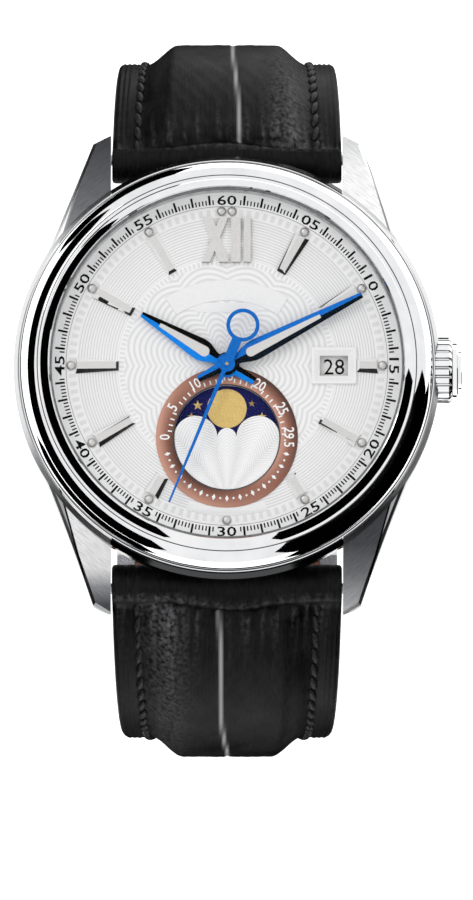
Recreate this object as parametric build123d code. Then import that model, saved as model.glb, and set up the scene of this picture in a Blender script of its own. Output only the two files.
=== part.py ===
from build123d import *
import math
import os

os.makedirs("parts", exist_ok=True)

# Moon phase watch, buckled, all sizes in millimetres and angles in degrees.
# The hands turn about Z, 12 o'clock is at +Y and the crown is at +X.
# Height zero is the outer face of the back crystal, on the hand axis.

# Heights through the case, each one stacked on the last
back_crystal_thickness = 0.8
rotor_gap = 0.2
rotor_plate_thickness = 0.35
rotor_rim_thickness = 0.6
bridge_gap = 0.1
bridge_thickness = 0.75
train_space = 1.65
plate_thickness = 1.3
calendar_space = 1.1
dial_thickness = 0.4

rotor_low = back_crystal_thickness + rotor_gap
bridge_low = rotor_low + rotor_rim_thickness + bridge_gap
bridge_high = bridge_low + bridge_thickness
plate_low = bridge_high + train_space
plate_high = plate_low + plate_thickness
dial_low = plate_high + calendar_space
dial_high = dial_low + dial_thickness

# Mid case
case_bore_radius = 16.8
case_wall = 3.4
case_radius = case_bore_radius + case_wall
case_foot_setback = 1.3
case_shoulder_setback = 0.4
case_flank_share = 0.67
case_waist_share = 0.5
case_shoulder_share = 0.84
dial_step = 0.1
case_lift = 1.1
case_foot_radius = case_radius - case_foot_setback
case_shoulder_radius = case_radius - case_shoulder_setback
case_low = case_lift
case_high = dial_low + dial_step
case_neck_setback = 0.7
case_neck_thickness = 0.6
case_neck_inner = case_bore_radius + case_neck_setback
case_neck_outer = case_neck_inner + case_neck_thickness
case_neck_height = 0.6
case_fit = 0.05

# Lugs and the gap between them
lug_gap = 22.0
lug_overhang = 2.8
lug_tip_reach = case_radius + lug_overhang
lug_tip_width = 1.7
lug_tip_corner_setback = 0.95
lug_mid_width = 4.0
lug_mid_setback = 7.15
lug_root_width = 6.5
lug_root_setback = 13.35
lug_tip_half_width = lug_gap / 2 + lug_tip_width
lug_mid_half_width = lug_gap / 2 + lug_mid_width
lug_root_half_width = lug_gap / 2 + lug_root_width
lug_tip_corner_reach = lug_tip_reach - lug_tip_corner_setback
lug_mid_reach = lug_tip_reach - lug_mid_setback
lug_root_reach = lug_tip_reach - lug_root_setback
lug_tip_high = 0.6
lug_tip_low = -0.9
lug_tip_setback = 0.55
lug_crest_setback = 15.0
lug_crest_drop = 0.15
lug_bow_setback = 6.2
lug_bow_height = 4.25
lug_heel_setback = 7.5
lug_sole_setback = 3.4
lug_sole_height = 0.25
lug_edge_bevel = 0.3

# Spring bars
bar_setback = 2.5
bar_reach = lug_tip_reach - bar_setback
bar_height = 1.05
bar_tube_radius = 0.9
bar_end_gap = 0.3
bar_pivot_radius = 0.5
bar_pivot_depth = 0.9
bar_hole_gap = 0.05
bar_hole_extra = 0.2
bar_bore_radius = 0.62
bar_bore_depth = 3.9
bar_lip_length = 0.2
bar_lip_gap = 0.03
tip_body_radius = 0.57
tip_body_length = 2.3

# Crown, tube and stem
stem_drop = 0.8
stem_height = plate_low - stem_drop
crown_radius = 3.2
crown_flute_depth = 0.22
crown_flutes = 16
crown_ridge_share = 0.68
crown_sink = 0.8
crown_start = case_radius - crown_sink
crown_flute_length = 1.95
crown_cap_radius = 2.65
crown_cap_length = 0.6
crown_end_radius = 1.85
crown_end_length = 0.35
crown_socket_radius = 1.3
crown_socket_depth = 1.0
crown_seat_gap = 0.35
crown_seat_depth = 0.2
crown_tube_radius = 1.15
crown_tube_bore = 0.8
crown_tube_inset = 0.1
crown_tube_inner_x = case_bore_radius + crown_tube_inset
crown_tube_out = 0.8
stem_radius = 0.42
stem_inner_x = 7.3
stem_square_side = 0.56
stem_square_end_x = 11.6
stem_bore_gap = 0.05

# Bezel, rehaut, crystal and gaskets
bezel_skirt = 0.3
bezel_lip_overhang = 0.45
bezel_lip_width = 1.1
bezel_setback = 0.75
bezel_foot_width = 0.22
bezel_inner_radius = case_neck_inner - bezel_skirt
bezel_lip_radius = bezel_inner_radius - bezel_lip_overhang
bezel_step_radius = bezel_lip_radius + bezel_lip_width
bezel_radius = case_radius - bezel_setback
bezel_foot_radius = bezel_radius + bezel_foot_width
bezel_foot_height = 0.25
bezel_lip_height = 2.7
bezel_crest_rise = 0.28
bezel_crest_width = 0.77
bezel_crest_bow_share = 0.67
bezel_step_drop = 0.25
bezel_ledge_thickness = 0.6
rehaut_foot_setback = 0.53
rehaut_top_setback = 0.15
rehaut_foot_radius = case_bore_radius - rehaut_foot_setback
rehaut_top_radius = bezel_lip_radius - rehaut_top_setback
rehaut_outer_radius = bezel_inner_radius - case_fit
rehaut_height = 1.78
crystal_edge_gap = 0.2
crystal_radius = bezel_lip_radius - crystal_edge_gap
crystal_edge_thickness = 0.6
crystal_dome_rise = 0.75
crystal_gap = 0.02
gasket_fit = 0.02

# Case back
back_flange_setback = 2.5
back_flange_radius = case_radius - back_flange_setback
back_lift = 0.1
back_spigot_gap = 0.08
back_spigot_radius = case_bore_radius - back_spigot_gap
back_spigot_length = 1.0
back_ring_inner = 12.9
back_crystal_radius = 13.6
back_notches = 6
back_notch_radius = 0.9
back_notch_depth = 0.5
back_notch_setback = 1.5
back_notch_circle = back_flange_radius - back_notch_setback
back_gasket_width = 0.6
back_gasket_depth = 0.35

# Movement frame
plate_radius = 12.8
bridge_radius = 12.3
casing_ring_outer_gap = 0.15
casing_ring_inner_gap = 0.1
casing_ring_radius = case_bore_radius - casing_ring_outer_gap
casing_ring_bore = plate_radius + casing_ring_inner_gap
casing_ring_low_gap = 0.3
casing_ring_stem_radius = 0.7
date_rim_inner = 12.38
date_rim_height = 0.72
date_seat_inner = 9.6
date_seat_outer = 12.0
date_seat_height = 0.5
bridge_split_angle = 40.0
bridge_split_reach = 1.6
bridge_split_gap = 0.12
foot_radius = 0.7
foot_reach = 11.2
barrel_bridge_foot_angles = (12.0, 115.0, -25.0)
train_bridge_foot_angles = (-60.0, -100.0, 160.0)
screw_radius = 0.45
screw_head_radius = 0.6
screw_head_height = 0.25
screw_slot_width = 0.14
screw_slot_depth = 0.12
screw_length = 1.2
small_screw_radius = 0.22
small_screw_head_radius = 0.36
web_thickness = 0.3
wheel_pocket_gap = 0.25

# Gear teeth, as shares of the module or of the tooth pitch
addendum_share = 0.85
dedendum_share = 1.1
tooth_root_share = 0.5
tooth_tip_share = 0.22
arm_share = 0.16
hub_share = 0.3
rim_share = 0.78
wheel_thickness = 0.15

# Going train
barrel_teeth = 84
centre_pinion_teeth = 12
barrel_module = 0.12
centre_teeth = 64
third_pinion_teeth = 8
centre_module = 0.10
third_teeth = 60
fourth_pinion_teeth = 8
fourth_teeth = 84
escape_pinion_teeth = 7
fourth_module = 0.075
escape_teeth = 20
barrel_angle = 60.0
third_angle = -120.0
escape_angle = 180.0
barrel_reach = (barrel_teeth + centre_pinion_teeth) * barrel_module / 2
third_reach = (centre_teeth + third_pinion_teeth) * centre_module / 2
third_module = 2 * third_reach / (third_teeth + fourth_pinion_teeth)
escape_reach = (fourth_teeth + escape_pinion_teeth) * fourth_module / 2

fourth_wheel_rise = 0.10
third_wheel_rise = 0.62
escape_wheel_rise = 0.90
centre_pinion_rise = 0.90
centre_wheel_rise = 1.35
pinion_overlap = 0.06
barrel_drum_rise = 0.38
barrel_drum_height = 0.86
barrel_drum_radius = 4.7
barrel_wall = 0.25
barrel_floor = 0.15
barrel_teeth_rise = 0.56
barrel_teeth_thickness = 0.2
mainspring_turns = 7
mainspring_outer_radius = 4.3
mainspring_inner_radius = 1.25
mainspring_leaf = 0.12
barrel_arbor_radius = 0.9
barrel_arbor_gap = 0.05
arbor_radius = 0.2
pivot_radius = 0.12
pivot_length = 0.35
pivot_gap = 0.03
arbor_end_gap = 0.04
jewel_radius = 0.45
jewel_thickness = 0.3
small_jewel_radius = 0.3

# Hand carriers on the centre line
seconds_arbor_radius = 0.15
centre_arbor_bore = 0.2
centre_arbor_radius = 0.4
cannon_bore_gap = 0.02
cannon_radius = 0.62
hour_tube_gap = 0.05
hour_tube_radius = 0.95
dial_centre_gap = 0.15

# Motion works
cannon_teeth = 12
minute_wheel_teeth = 36
minute_pinion_teeth = 10
hour_wheel_teeth = 40
motion_module = 0.10
motion_reach = (cannon_teeth + minute_wheel_teeth) * motion_module / 2
hour_module = 2 * motion_reach / (minute_pinion_teeth + hour_wheel_teeth)
motion_angle = 45.0
minute_wheel_rise = 0.08
hour_wheel_rise = 0.34
minute_pinion_thickness = 0.3
minute_post_radius = 0.25
minute_post_gap = 0.04

# Escapement
escape_tip_radius = 1.75
escape_root_radius = 1.3
escape_rim_inner = 1.05
escape_lean_share = 0.35
pallet_reach = 2.15
pallet_arm_length = 1.0
pallet_arm_angle = 62.0
pallet_arm_width = 0.22
pallet_lever_length = 1.15
pallet_thickness = 0.16
pallet_cock_rise = 0.54
pallet_cock_thickness = 0.24
pallet_cock_width = 0.9
pallet_cock_reach = 2.0
pallet_foot_radius = 0.5
pallet_pivot_length = 0.2
stone_length = 0.22
stone_width = 0.16
stone_angle = 12.0
horn_spread = 0.16
horn_length = 0.22
balance_reach = 7.2
balance_angle = 195.0
balance_radius = 3.5
balance_rim_width = 0.4
balance_rise = 0.17
balance_thickness = 0.28
balance_arm_width = 0.45
balance_hub_radius = 0.6
balance_spokes = 3
roller_radius = 0.55
roller_rise = 0.9
roller_thickness = 0.12
hairspring_turns = 6
hairspring_inner_radius = 0.45
hairspring_outer_radius = 1.6
hairspring_leaf = 0.05
hairspring_height = 0.1
hairspring_gap = 0.04
cock_width = 2.6
cock_head_radius = 1.5
cock_foot_reach = 11.75
cock_foot_radius = 0.85
cock_gap = 0.15
cock_bay_radius = 3.3

# Winding works
ratchet_teeth = 42
crown_wheel_teeth = 30
winding_pinion_teeth = 15
winding_module = 0.16
winding_wheel_rise = 0.2
winding_wheel_thickness = 0.2
winding_pinion_length = 0.6
pinion_gap_angle = -90.0
clutch_radius = 0.85
clutch_length = 1.3
clutch_groove_radius = 0.6
clutch_groove_width = 0.35
clutch_gap = 0.06
winding_recess_gap = 0.15
square_gap = 0.04
crown_wheel_core_radius = 0.7
crown_wheel_core_gap = 0.04

# Rotor
rotor_radius = 12.2
rotor_rim_inner = 10.2
rotor_hub_radius = 2.4
rotor_arm_span = 180.0
rotor_rest_angle = 270.0
rotor_window_inner = 4.2
rotor_window_outer = 9.2
rotor_window_span = 46.0
rotor_windows = 3
bearing_radius = 1.5
bearing_gap = 0.05
bearing_head_radius = 1.75
bearing_head_thickness = 0.12

# Date and moon discs
date_disc_inner = 8.35
date_disc_outer = 12.3
date_disc_rise = 0.53
date_disc_thickness = 0.15
date_teeth = 31
date_tooth_depth = 0.5
date_tooth_share = 0.4
moon_reach = 6.84
moon_disc_radius = 5.28
moon_disc_teeth = 59
moon_tooth_depth = 0.12
moon_tooth_share = 0.9
moon_disc_thickness = 0.15
moon_disc_drop = 0.12
moon_post_radius = 0.35
moon_post_gap = 0.04
moon_window_radius = 4.98
moon_ring_radius = 6.71
moon_ring_sink = 0.12
moon_ring_rise = 0.22
moon_ring_edge_share = 0.4
mask_hump_radius = 2.05
mask_hump_spread = 2.95
mask_crest_radius = 0.9

# Dial and what is applied to it
dial_edge_gap = 0.1
dial_radius = case_bore_radius - dial_edge_gap
date_window_reach = 10.12
date_window_length = 2.64
date_window_height = 1.9
date_frame_length = 4.25
date_frame_height = 3.5
date_frame_rise = 0.35
date_frame_bevel_share = 0.72
baton_outer_reach = 14.14
baton_inner_reach = 10.24
baton_outer_width = 1.30
baton_inner_width = 0.94
baton_rise = 0.5
baton_bevel = 0.27
short_baton_inner_reach = 12.3
low_baton_inner_reach = 12.1
baton_hours = (1, 2, 4, 8, 9, 10, 11)
low_baton_hours = (5, 7)
short_baton_hours = (3,)
dot_reach = 14.72
dot_radius = 0.47
dot_rise = 0.25
twin_dot_spread = 0.5
date_dot_hour = 12
numeral_outer_reach = 14.1
numeral_height = 4.28
numeral_width = 4.65
numeral_stroke = 0.62
numeral_thin_stroke = 0.3
numeral_serif = 0.28
numeral_serif_length = 1.18
numeral_upright_places = (2.55, 3.55)
numeral_rise = 0.35
marker_hours = 12

# Hands: lengths from the pivot, widths at their widest
hour_hand_length = 9.39
hour_hand_tail = 3.16
hour_hand_width = 2.16
hour_hand_tip_width = 0.5
hour_hand_shoulder = 2.6
hour_hand_neck_width = 1.0
hour_hand_tail_width = 1.15
hour_hand_boss = 1.5
hour_hand_angle = 149.0
hour_slot_start = 2.0
hour_slot_end = 7.4
hour_slot_width = 1.0
hour_slot_end_width = 0.36
minute_hand_length = 14.39
minute_hand_tail = 3.2
minute_hand_width = 2.0
minute_hand_tip_width = 0.55
minute_hand_shoulder = 2.85
minute_hand_neck_width = 0.95
minute_hand_tail_width = 1.1
minute_hand_boss = 1.35
minute_hand_angle = 27.4
minute_slot_start = 2.1
minute_slot_end = 9.95
minute_slot_width = 0.9
minute_slot_end_width = 0.36
hand_thickness = 0.2
hour_hand_rise = 0.6
minute_hand_rise = 1.05
seconds_hand_rise = 1.45
seconds_hand_length = 14.3
seconds_hand_width = 0.42
seconds_hand_tip_width = 0.18
seconds_hand_angle = 247.55
seconds_hand_thickness = 0.12
seconds_hub_radius = 0.77
seconds_ring_reach = 3.98
seconds_ring_outer = 1.57
seconds_ring_inner = 1.22
seconds_neck_width = 0.95
seconds_pin_rise = 0.18

# Strap loop, seen from the side
strap_width_case = 21.8
strap_width_buckle = 18.0
strap_case_thickness = 4.6
short_end_thickness = 2.4
tail_thickness = 2.0
lining_thickness = 0.8
lining_skipped_steps = 2
strap_leave_angle = 25.0
shoulder_radius = 20.3
side_radius = 70.0
side_turn = 20.0
loop_depth = 46.5
layer_gap = 0.35
taper_depth = 41.0
short_half_length = 80.0
long_half_length = 99.0
edge_land = 2.3
edge_drop_case = 1.4
edge_drop_end = 0.3
shoulder_steps = 8
side_steps = 2
corner_steps = 4
strap_bar_gap = 0.05
tip_taper_length = 6.0
tip_bow_width_share = 0.72
tip_bow_length_share = 0.32
hole_pitch = 6.5
hole_end_room = 0.4
hole_width = 1.8
hole_steps = (-2, -1, 0, 1, 2)

# Buckle and keepers
cross_bar_radius = 0.6
strap_eye_radius = 1.35
eye_radius = 1.15
buckle_inner_half = 9.3
buckle_arm_width = 1.4
buckle_reach = 9.5
buckle_bar_half = 1.1
buckle_crank_angle = 37.0
keeper_wall = 1.05
keeper_gap = 0.15
keeper_width = 4.8
fixed_keeper_gap = 3.1
free_keeper_gap = 1.1
tang_half_width = 0.7
tang_neck_half = 0.55
tang_foot_thickness = 0.65
tang_ring_radius = 1.1
tang_running_gap = 0.05
tang_notch_extra = 0.25
tang_notch_back = 1.75
tang_tip_extra = 0.9
tang_swing = 15.0
tang_groove_length = 4.4

# What cuts run past the faces that they open
overrun = 1.0

parts = {}


def polar(reach, angle):
    """The point at a reach from the hand axis, in a direction in degrees."""
    turn = math.radians(angle)
    return reach * math.cos(turn), reach * math.sin(turn)


def disc(radius, low, high, place=(0, 0)):
    """A round bar about a vertical line, from one height to another."""
    return extrude(Pos(place[0], place[1], low) * Circle(radius), high - low)


def ring(outer, inner, low, high, place=(0, 0)):
    """A tube about a vertical line, from one height to another."""
    face = Circle(outer) - Circle(inner)
    return extrude(Pos(place[0], place[1], low) * face, high - low)


def cross_rod(radius, start, end, y, z):
    """A round bar that lies along X."""
    face = Plane.YZ.offset(start) * Pos(y, z) * Circle(radius)
    return extrude(face, end - start)


def closed_face(points):
    """The flat face inside a closed run of straight lines."""
    return make_face(Polyline(*points, close=True))


def slab(points, low, high):
    """A plate with a straight edged outline."""
    return extrude(Pos(0, 0, low) * closed_face(points), high - low)


def side_slab(points, half_width):
    """A plate whose outline is drawn from the side, centred on X zero."""
    return extrude(Plane.YZ * closed_face(points), half_width, both=True)


def turned(face):
    """A body turned about the hand axis from a face drawn in radius and height."""
    return revolve(Plane.XZ * face, Axis.Z)


def turned_points(points):
    """A body turned about the hand axis from straight edges."""
    return turned(closed_face(points))


def half_turn(shape):
    """The same shape on the 6 o'clock side."""
    return Rot(0, 0, 180) * shape


def tooth_face(teeth, module, phase=0.0):
    """The outline of a toothed wheel with one tooth centred at the phase angle."""
    pitch_radius = teeth * module / 2
    tip = pitch_radius + addendum_share * module
    root = pitch_radius - dedendum_share * module
    step = 360 / teeth
    points = []
    for tooth in range(teeth):
        middle = phase + tooth * step
        for radius, share in (
            (root, -tooth_root_share / 2),
            (tip, -tooth_tip_share / 2),
            (tip, tooth_tip_share / 2),
            (root, tooth_root_share / 2),
        ):
            points.append(polar(radius, middle + share * step))
    return closed_face(points)


def mesh_phase(direction, teeth, phase, next_teeth):
    """The phase of the next wheel, which lies in a direction from the first one."""
    offset = (direction - phase) * teeth / 360
    return direction + 180 - (1 / 2 - offset) * 360 / next_teeth


def armed_face(teeth, module, phase, bore, arms):
    """A toothed wheel crossed out between its hub and rim."""
    pitch_radius = teeth * module / 2
    windows = Circle(rim_share * pitch_radius) - Circle(hub_share * pitch_radius)
    for arm in range(arms):
        windows -= Rot(0, 0, arm * 360 / arms) * Pos(pitch_radius / 2, 0) * Rectangle(
            pitch_radius, arm_share * pitch_radius
        )
    return tooth_face(teeth, module, phase) - windows - Circle(bore)


def wheel(place, face, low, high):
    """A flat wheel set on its place between two heights."""
    return extrude(Pos(place[0], place[1], low) * face, high - low)


def arbor(place, low, high):
    """An arbor with a thin pivot at each end, between bridge and plate."""
    body = disc(arbor_radius, low + arbor_end_gap, high - arbor_end_gap, place)
    pivots = disc(pivot_radius, low - pivot_length, high + pivot_length, place)
    return body + pivots


centre = (0, 0)
barrel_place = polar(barrel_reach, barrel_angle)
third_place = polar(third_reach, third_angle)
escape_place = polar(escape_reach, escape_angle)
balance_place = polar(balance_reach, balance_angle)
motion_place = polar(motion_reach, motion_angle)
moon_place = (0, -moon_reach)
winding_reach = (ratchet_teeth + crown_wheel_teeth) * winding_module / 2
crown_wheel_radius = crown_wheel_teeth * winding_module / 2
crown_wheel_place = (
    barrel_place[0] + math.sqrt(winding_reach**2 - barrel_place[1] ** 2),
    0,
)
winding_pinion_x = crown_wheel_place[0] + crown_wheel_radius
winding_pinion_radius = winding_pinion_teeth * winding_module / 2
winding_tip_radius = winding_pinion_radius + addendum_share * winding_module
escape_line = math.degrees(
    math.atan2(balance_place[1] - escape_place[1], balance_place[0] - escape_place[0])
)
pallet_place = (
    escape_place[0] + pallet_reach * math.cos(math.radians(escape_line)),
    escape_place[1] + pallet_reach * math.sin(math.radians(escape_line)),
)
pallet_foot = (
    pallet_place[0] + pallet_cock_reach * math.sin(math.radians(escape_line)),
    pallet_place[1] - pallet_cock_reach * math.cos(math.radians(escape_line)),
)
pallet_cock_low = bridge_high + pallet_cock_rise
pallet_cock_high = pallet_cock_low + pallet_cock_thickness


# Case


def lug_outline(side):
    """One lug seen from above, on the 12 o'clock side, as straight and round edges."""
    inner_foot = (side * lug_gap / 2, lug_root_reach)
    inner_tip = (side * lug_gap / 2, lug_tip_reach)
    corner = (side * lug_tip_half_width, lug_tip_corner_reach)
    middle = (side * lug_mid_half_width, lug_mid_reach)
    root = (side * lug_root_half_width, lug_root_reach)
    edges = Line(inner_foot, inner_tip) + Line(inner_tip, corner)
    edges += ThreePointArc(corner, middle, root) + Line(root, inner_foot)
    return make_face(edges)


def lug_side():
    """The lugs' outline seen from the side, on the 12 o'clock side."""
    crest_reach = lug_tip_reach - lug_crest_setback
    crest = (crest_reach, case_high - lug_crest_drop)
    bow = (lug_tip_reach - lug_bow_setback, lug_bow_height)
    tip = (lug_tip_reach, lug_tip_high)
    toe = (lug_tip_reach - lug_tip_setback, lug_tip_low)
    sole = (lug_tip_reach - lug_sole_setback, lug_sole_height)
    heel = (lug_tip_reach - lug_heel_setback, case_low)
    foot = (crest_reach, case_low)
    edges = ThreePointArc(crest, bow, tip) + Line(tip, toe) + Line(toe, sole)
    edges += Line(sole, heel) + Line(heel, foot) + Line(foot, crest)
    return make_face(edges)


def is_outer_top_edge(edge):
    """Whether an edge runs along the outer side of a lug's rounded top."""
    middle = edge.position_at(1 / 2)
    low = min(lug_tip_high, lug_sole_height) + lug_edge_bevel
    beyond_inner = abs(middle.X) > lug_gap / 2 + lug_edge_bevel
    return beyond_inner and middle.Z > low and lug_root_reach < middle.Y < lug_tip_reach


def lug_pair():
    """The two lugs on the 12 o'clock side."""
    plan = lug_outline(1) + lug_outline(-1)
    upright = extrude(Pos(0, 0, lug_tip_low - overrun) * plan, case_high - lug_tip_low + overrun)
    across = extrude(Plane.YZ * lug_side(), case_radius, both=True)
    body = upright & across
    upper = body.edges().filter_by(is_outer_top_edge)
    return chamfer(upper, lug_edge_bevel)


def mid_case():
    """Case ring with four lugs, its neck for the bezel, and the cuts for bars and crown."""
    height = case_high - case_low
    waist = case_low + case_waist_share * height
    shoulder = case_low + case_shoulder_share * height
    flank = Line((case_bore_radius, case_low), (case_foot_radius, case_low))
    flank += ThreePointArc(
        (case_foot_radius, case_low),
        (case_radius - (1 - case_flank_share) * case_foot_setback, (case_low + waist) / 2),
        (case_radius, waist),
    )
    flank += Line((case_radius, waist), (case_radius, shoulder))
    flank += Line((case_radius, shoulder), (case_shoulder_radius, case_high))
    flank += Polyline(
        (case_shoulder_radius, case_high),
        (case_neck_outer, case_high),
        (case_neck_outer, case_high + case_neck_height),
        (case_neck_inner, case_high + case_neck_height),
        (case_neck_inner, case_high),
        (case_bore_radius, case_high),
        (case_bore_radius, case_low),
    )
    lugs = lug_pair()
    body = turned(make_face(flank)) + lugs + half_turn(lugs)
    body -= disc(case_bore_radius, lug_tip_low - overrun, case_high + case_neck_height + overrun)
    # the strap's round end tucks under the flank between the lugs
    relief = strap_case_thickness / 2 + bar_end_gap
    for side in (1, -1):
        body -= cross_rod(relief, -lug_gap / 2, lug_gap / 2, side * bar_reach, bar_height)
        for end in (1, -1):
            start = end * (lug_gap / 2 - case_fit)
            stop = end * (lug_gap / 2 + bar_pivot_depth + bar_hole_extra)
            hole = bar_pivot_radius + bar_hole_gap
            body -= cross_rod(hole, start, stop, side * bar_reach, bar_height)
    seat = crown_radius + crown_seat_gap
    seat_start = crown_start - crown_seat_depth
    body -= cross_rod(seat, seat_start, case_radius + overrun, 0, stem_height)
    body -= cross_rod(crown_tube_radius, case_bore_radius - overrun, case_radius, 0, stem_height)
    return body


def bezel():
    """Polished bezel: a sloped crest, a step and a broad convex band down to a thin foot."""
    low = case_high
    lip = low + bezel_lip_height
    ledge = lip - bezel_ledge_thickness
    step = lip - bezel_step_drop
    band_width = bezel_radius - bezel_step_radius
    foot = low + bezel_foot_height
    rise = step - foot
    # the band's arc is upright at its foot: its centre is level with the foot
    band_centre = (bezel_radius**2 - bezel_step_radius**2 - rise**2) / (2 * band_width)
    band_bow = bezel_radius - band_centre
    bow_angle = math.asin(rise / band_bow) / 2
    rim = lip + bezel_crest_rise
    crest_end = bezel_lip_radius + bezel_crest_width
    crest_bow = (
        bezel_lip_radius + bezel_crest_width / 2,
        step + bezel_crest_bow_share * (rim - step),
    )
    edges = Line((crest_end, step), (bezel_step_radius, step))
    edges += ThreePointArc((bezel_lip_radius, rim), crest_bow, (crest_end, step))
    edges += ThreePointArc(
        (bezel_step_radius, step),
        (
            band_centre + band_bow * math.cos(bow_angle),
            foot + band_bow * math.sin(bow_angle),
        ),
        (bezel_radius, foot),
    )
    groove_in = case_neck_inner - case_fit
    groove_out = case_neck_outer + case_fit
    groove_top = low + case_neck_height + case_fit
    edges += Polyline(
        (bezel_radius, foot),
        (bezel_foot_radius, foot),
        (bezel_foot_radius, low),
        (groove_out, low),
        (groove_out, groove_top),
        (groove_in, groove_top),
        (groove_in, low),
        (bezel_inner_radius, low),
        (bezel_inner_radius, ledge),
        (bezel_lip_radius, ledge),
        (bezel_lip_radius, rim),
    )
    return turned(make_face(edges))


def rehaut_ring():
    """Sloped ring between dial and crystal, hooked over the dial's edge."""
    top = dial_high + rehaut_height
    ledge = case_high + bezel_lip_height - bezel_ledge_thickness
    return turned_points(
        (
            (rehaut_foot_radius, dial_high),
            (rehaut_top_radius, top),
            (bezel_lip_radius - case_fit, top),
            (bezel_lip_radius - case_fit, ledge - case_fit),
            (rehaut_outer_radius, ledge - case_fit),
            (rehaut_outer_radius, case_high),
            (dial_radius + case_fit, case_high),
            (dial_radius + case_fit, dial_high),
        )
    )


def front_crystal():
    """Domed crystal that stands on the rehaut ring."""
    low = dial_high + rehaut_height + crystal_gap
    edge = low + crystal_edge_thickness
    rise = crystal_dome_rise
    radius = (crystal_radius**2 + rise**2) / (2 * rise)
    middle = (
        crystal_radius / 2,
        edge + rise - (radius - math.sqrt(radius**2 - (crystal_radius / 2) ** 2)),
    )
    edges = ThreePointArc((0, edge + rise), middle, (crystal_radius, edge))
    edges += Polyline((crystal_radius, edge), (crystal_radius, low), (0, low), (0, edge + rise))
    return turned(make_face(edges))


def gaskets():
    """The crystal's gasket and the case back's gasket."""
    low = dial_high + rehaut_height + crystal_gap
    high = low + crystal_edge_thickness - crystal_gap
    front = ring(bezel_lip_radius - gasket_fit, crystal_radius + gasket_fit, low, high)
    outer = case_bore_radius - gasket_fit
    groove = outer - back_gasket_width
    middle = case_low + back_spigot_length / 2
    back = ring(
        outer,
        groove + gasket_fit,
        middle - back_gasket_depth / 2,
        middle + back_gasket_depth / 2,
    )
    return front + back


def case_back():
    """Screwed case back ring with six key notches and a gasket groove."""
    top = case_low + back_spigot_length
    low = back_lift
    groove = case_bore_radius - gasket_fit - back_gasket_width
    middle = case_low + back_spigot_length / 2
    half = back_gasket_depth / 2 + gasket_fit
    body = turned_points(
        (
            (back_crystal_radius, low),
            (back_flange_radius, low),
            (back_flange_radius, case_low),
            (back_spigot_radius, case_low),
            (back_spigot_radius, middle - half),
            (groove, middle - half),
            (groove, middle + half),
            (back_spigot_radius, middle + half),
            (back_spigot_radius, top),
            (back_ring_inner + bridge_thickness, top),
            (back_ring_inner, rotor_low + rotor_plate_thickness),
            (back_ring_inner, back_crystal_thickness),
            (back_crystal_radius, back_crystal_thickness),
        )
    )
    for notch in range(back_notches):
        place = polar(back_notch_circle, (notch + 1 / 2) * 360 / back_notches)
        body -= disc(back_notch_radius, low - overrun, low + back_notch_depth, place)
    return body


def crown():
    """Fluted crown with a plain cap, hollow where the tube reaches in."""
    face = tooth_like_flutes()
    start = crown_start
    flute_end = start + crown_flute_length
    cap_end = flute_end + crown_cap_length
    end = cap_end + crown_end_length
    at_stem = Pos(0, stem_height)
    body = extrude(Plane.YZ.offset(start) * at_stem * face, crown_flute_length)
    body += cross_rod(crown_cap_radius, flute_end, cap_end, 0, stem_height)
    body += cross_rod(crown_end_radius, cap_end, end, 0, stem_height)
    socket_end = start + crown_socket_depth
    body -= cross_rod(crown_socket_radius, start - overrun, socket_end, 0, stem_height)
    body -= cross_rod(stem_radius, socket_end - overrun, flute_end, 0, stem_height)
    return body


def tooth_like_flutes():
    """The crown's outline with straight flutes round it."""
    step = 360 / crown_flutes
    inner = crown_radius - crown_flute_depth
    half_ridge = crown_ridge_share / 2
    points = []
    for flute in range(crown_flutes):
        points.append(polar(inner, (flute - 1 / 2) * step))
        for share in (-half_ridge, 0, half_ridge):
            points.append(polar(crown_radius, (flute + share) * step))
    return closed_face(points)


def crown_tube():
    """Tube pressed into the case wall, round the stem."""
    end = crown_start + crown_tube_out
    tube = cross_rod(crown_tube_radius, crown_tube_inner_x, end, 0, stem_height)
    return tube - cross_rod(
        crown_tube_bore, crown_tube_inner_x - overrun, end + overrun, 0, stem_height
    )


def winding_stem():
    """Stem with a square inner length, carried by the clutch."""
    round_part = cross_rod(
        stem_radius,
        stem_square_end_x,
        crown_start + crown_flute_length,
        0,
        stem_height,
    )
    square = Plane.YZ.offset(stem_inner_x) * Pos(0, stem_height) * Rectangle(
        stem_square_side, stem_square_side
    )
    return round_part + extrude(square, stem_square_end_x - stem_inner_x)


# Movement frame


def split_side(near):
    """The plan of the bridge on one side of the split line: true is the train side."""
    span = 2 * plate_radius
    half_gap = bridge_split_gap / 2
    if near:
        middle = bridge_split_reach - half_gap - span / 2
    else:
        middle = bridge_split_reach + half_gap + span / 2
    return Rot(0, 0, bridge_split_angle) * Pos(middle, 0) * Rectangle(span, 2 * span)


def cock_plan(extra):
    """Plan of the balance cock: a round head over the balance and an arm to its foot."""
    foot = polar(cock_foot_reach, balance_angle)
    length = cock_foot_reach - balance_reach + cock_foot_radius
    arm = Rot(0, 0, balance_angle) * Pos(balance_reach + length / 2, 0) * Rectangle(
        length, cock_width + 2 * extra
    )
    head = Pos(balance_place[0], balance_place[1]) * Circle(cock_head_radius + extra)
    end = Pos(foot[0], foot[1]) * Circle(cock_foot_radius + extra)
    return arm + head + end


def bridge_with_feet(plan, foot_angles):
    """A bridge of a given plan that stands on round feet, with holes for its screws."""
    body = extrude(Pos(0, 0, bridge_low) * plan, bridge_thickness)
    for angle in foot_angles:
        place = polar(foot_reach, angle)
        body += disc(foot_radius, bridge_high - case_fit, plate_low, place)
        body -= disc(screw_radius, bridge_low - overrun, plate_low + overrun, place)
        body -= disc(
            screw_head_radius, bridge_low - overrun, bridge_low + screw_head_height, place
        )
    return body


def jewel_hole(low, high, place):
    """The hole that a jewel is pressed into."""
    return disc(jewel_radius, low - overrun, high + overrun, place)


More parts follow.
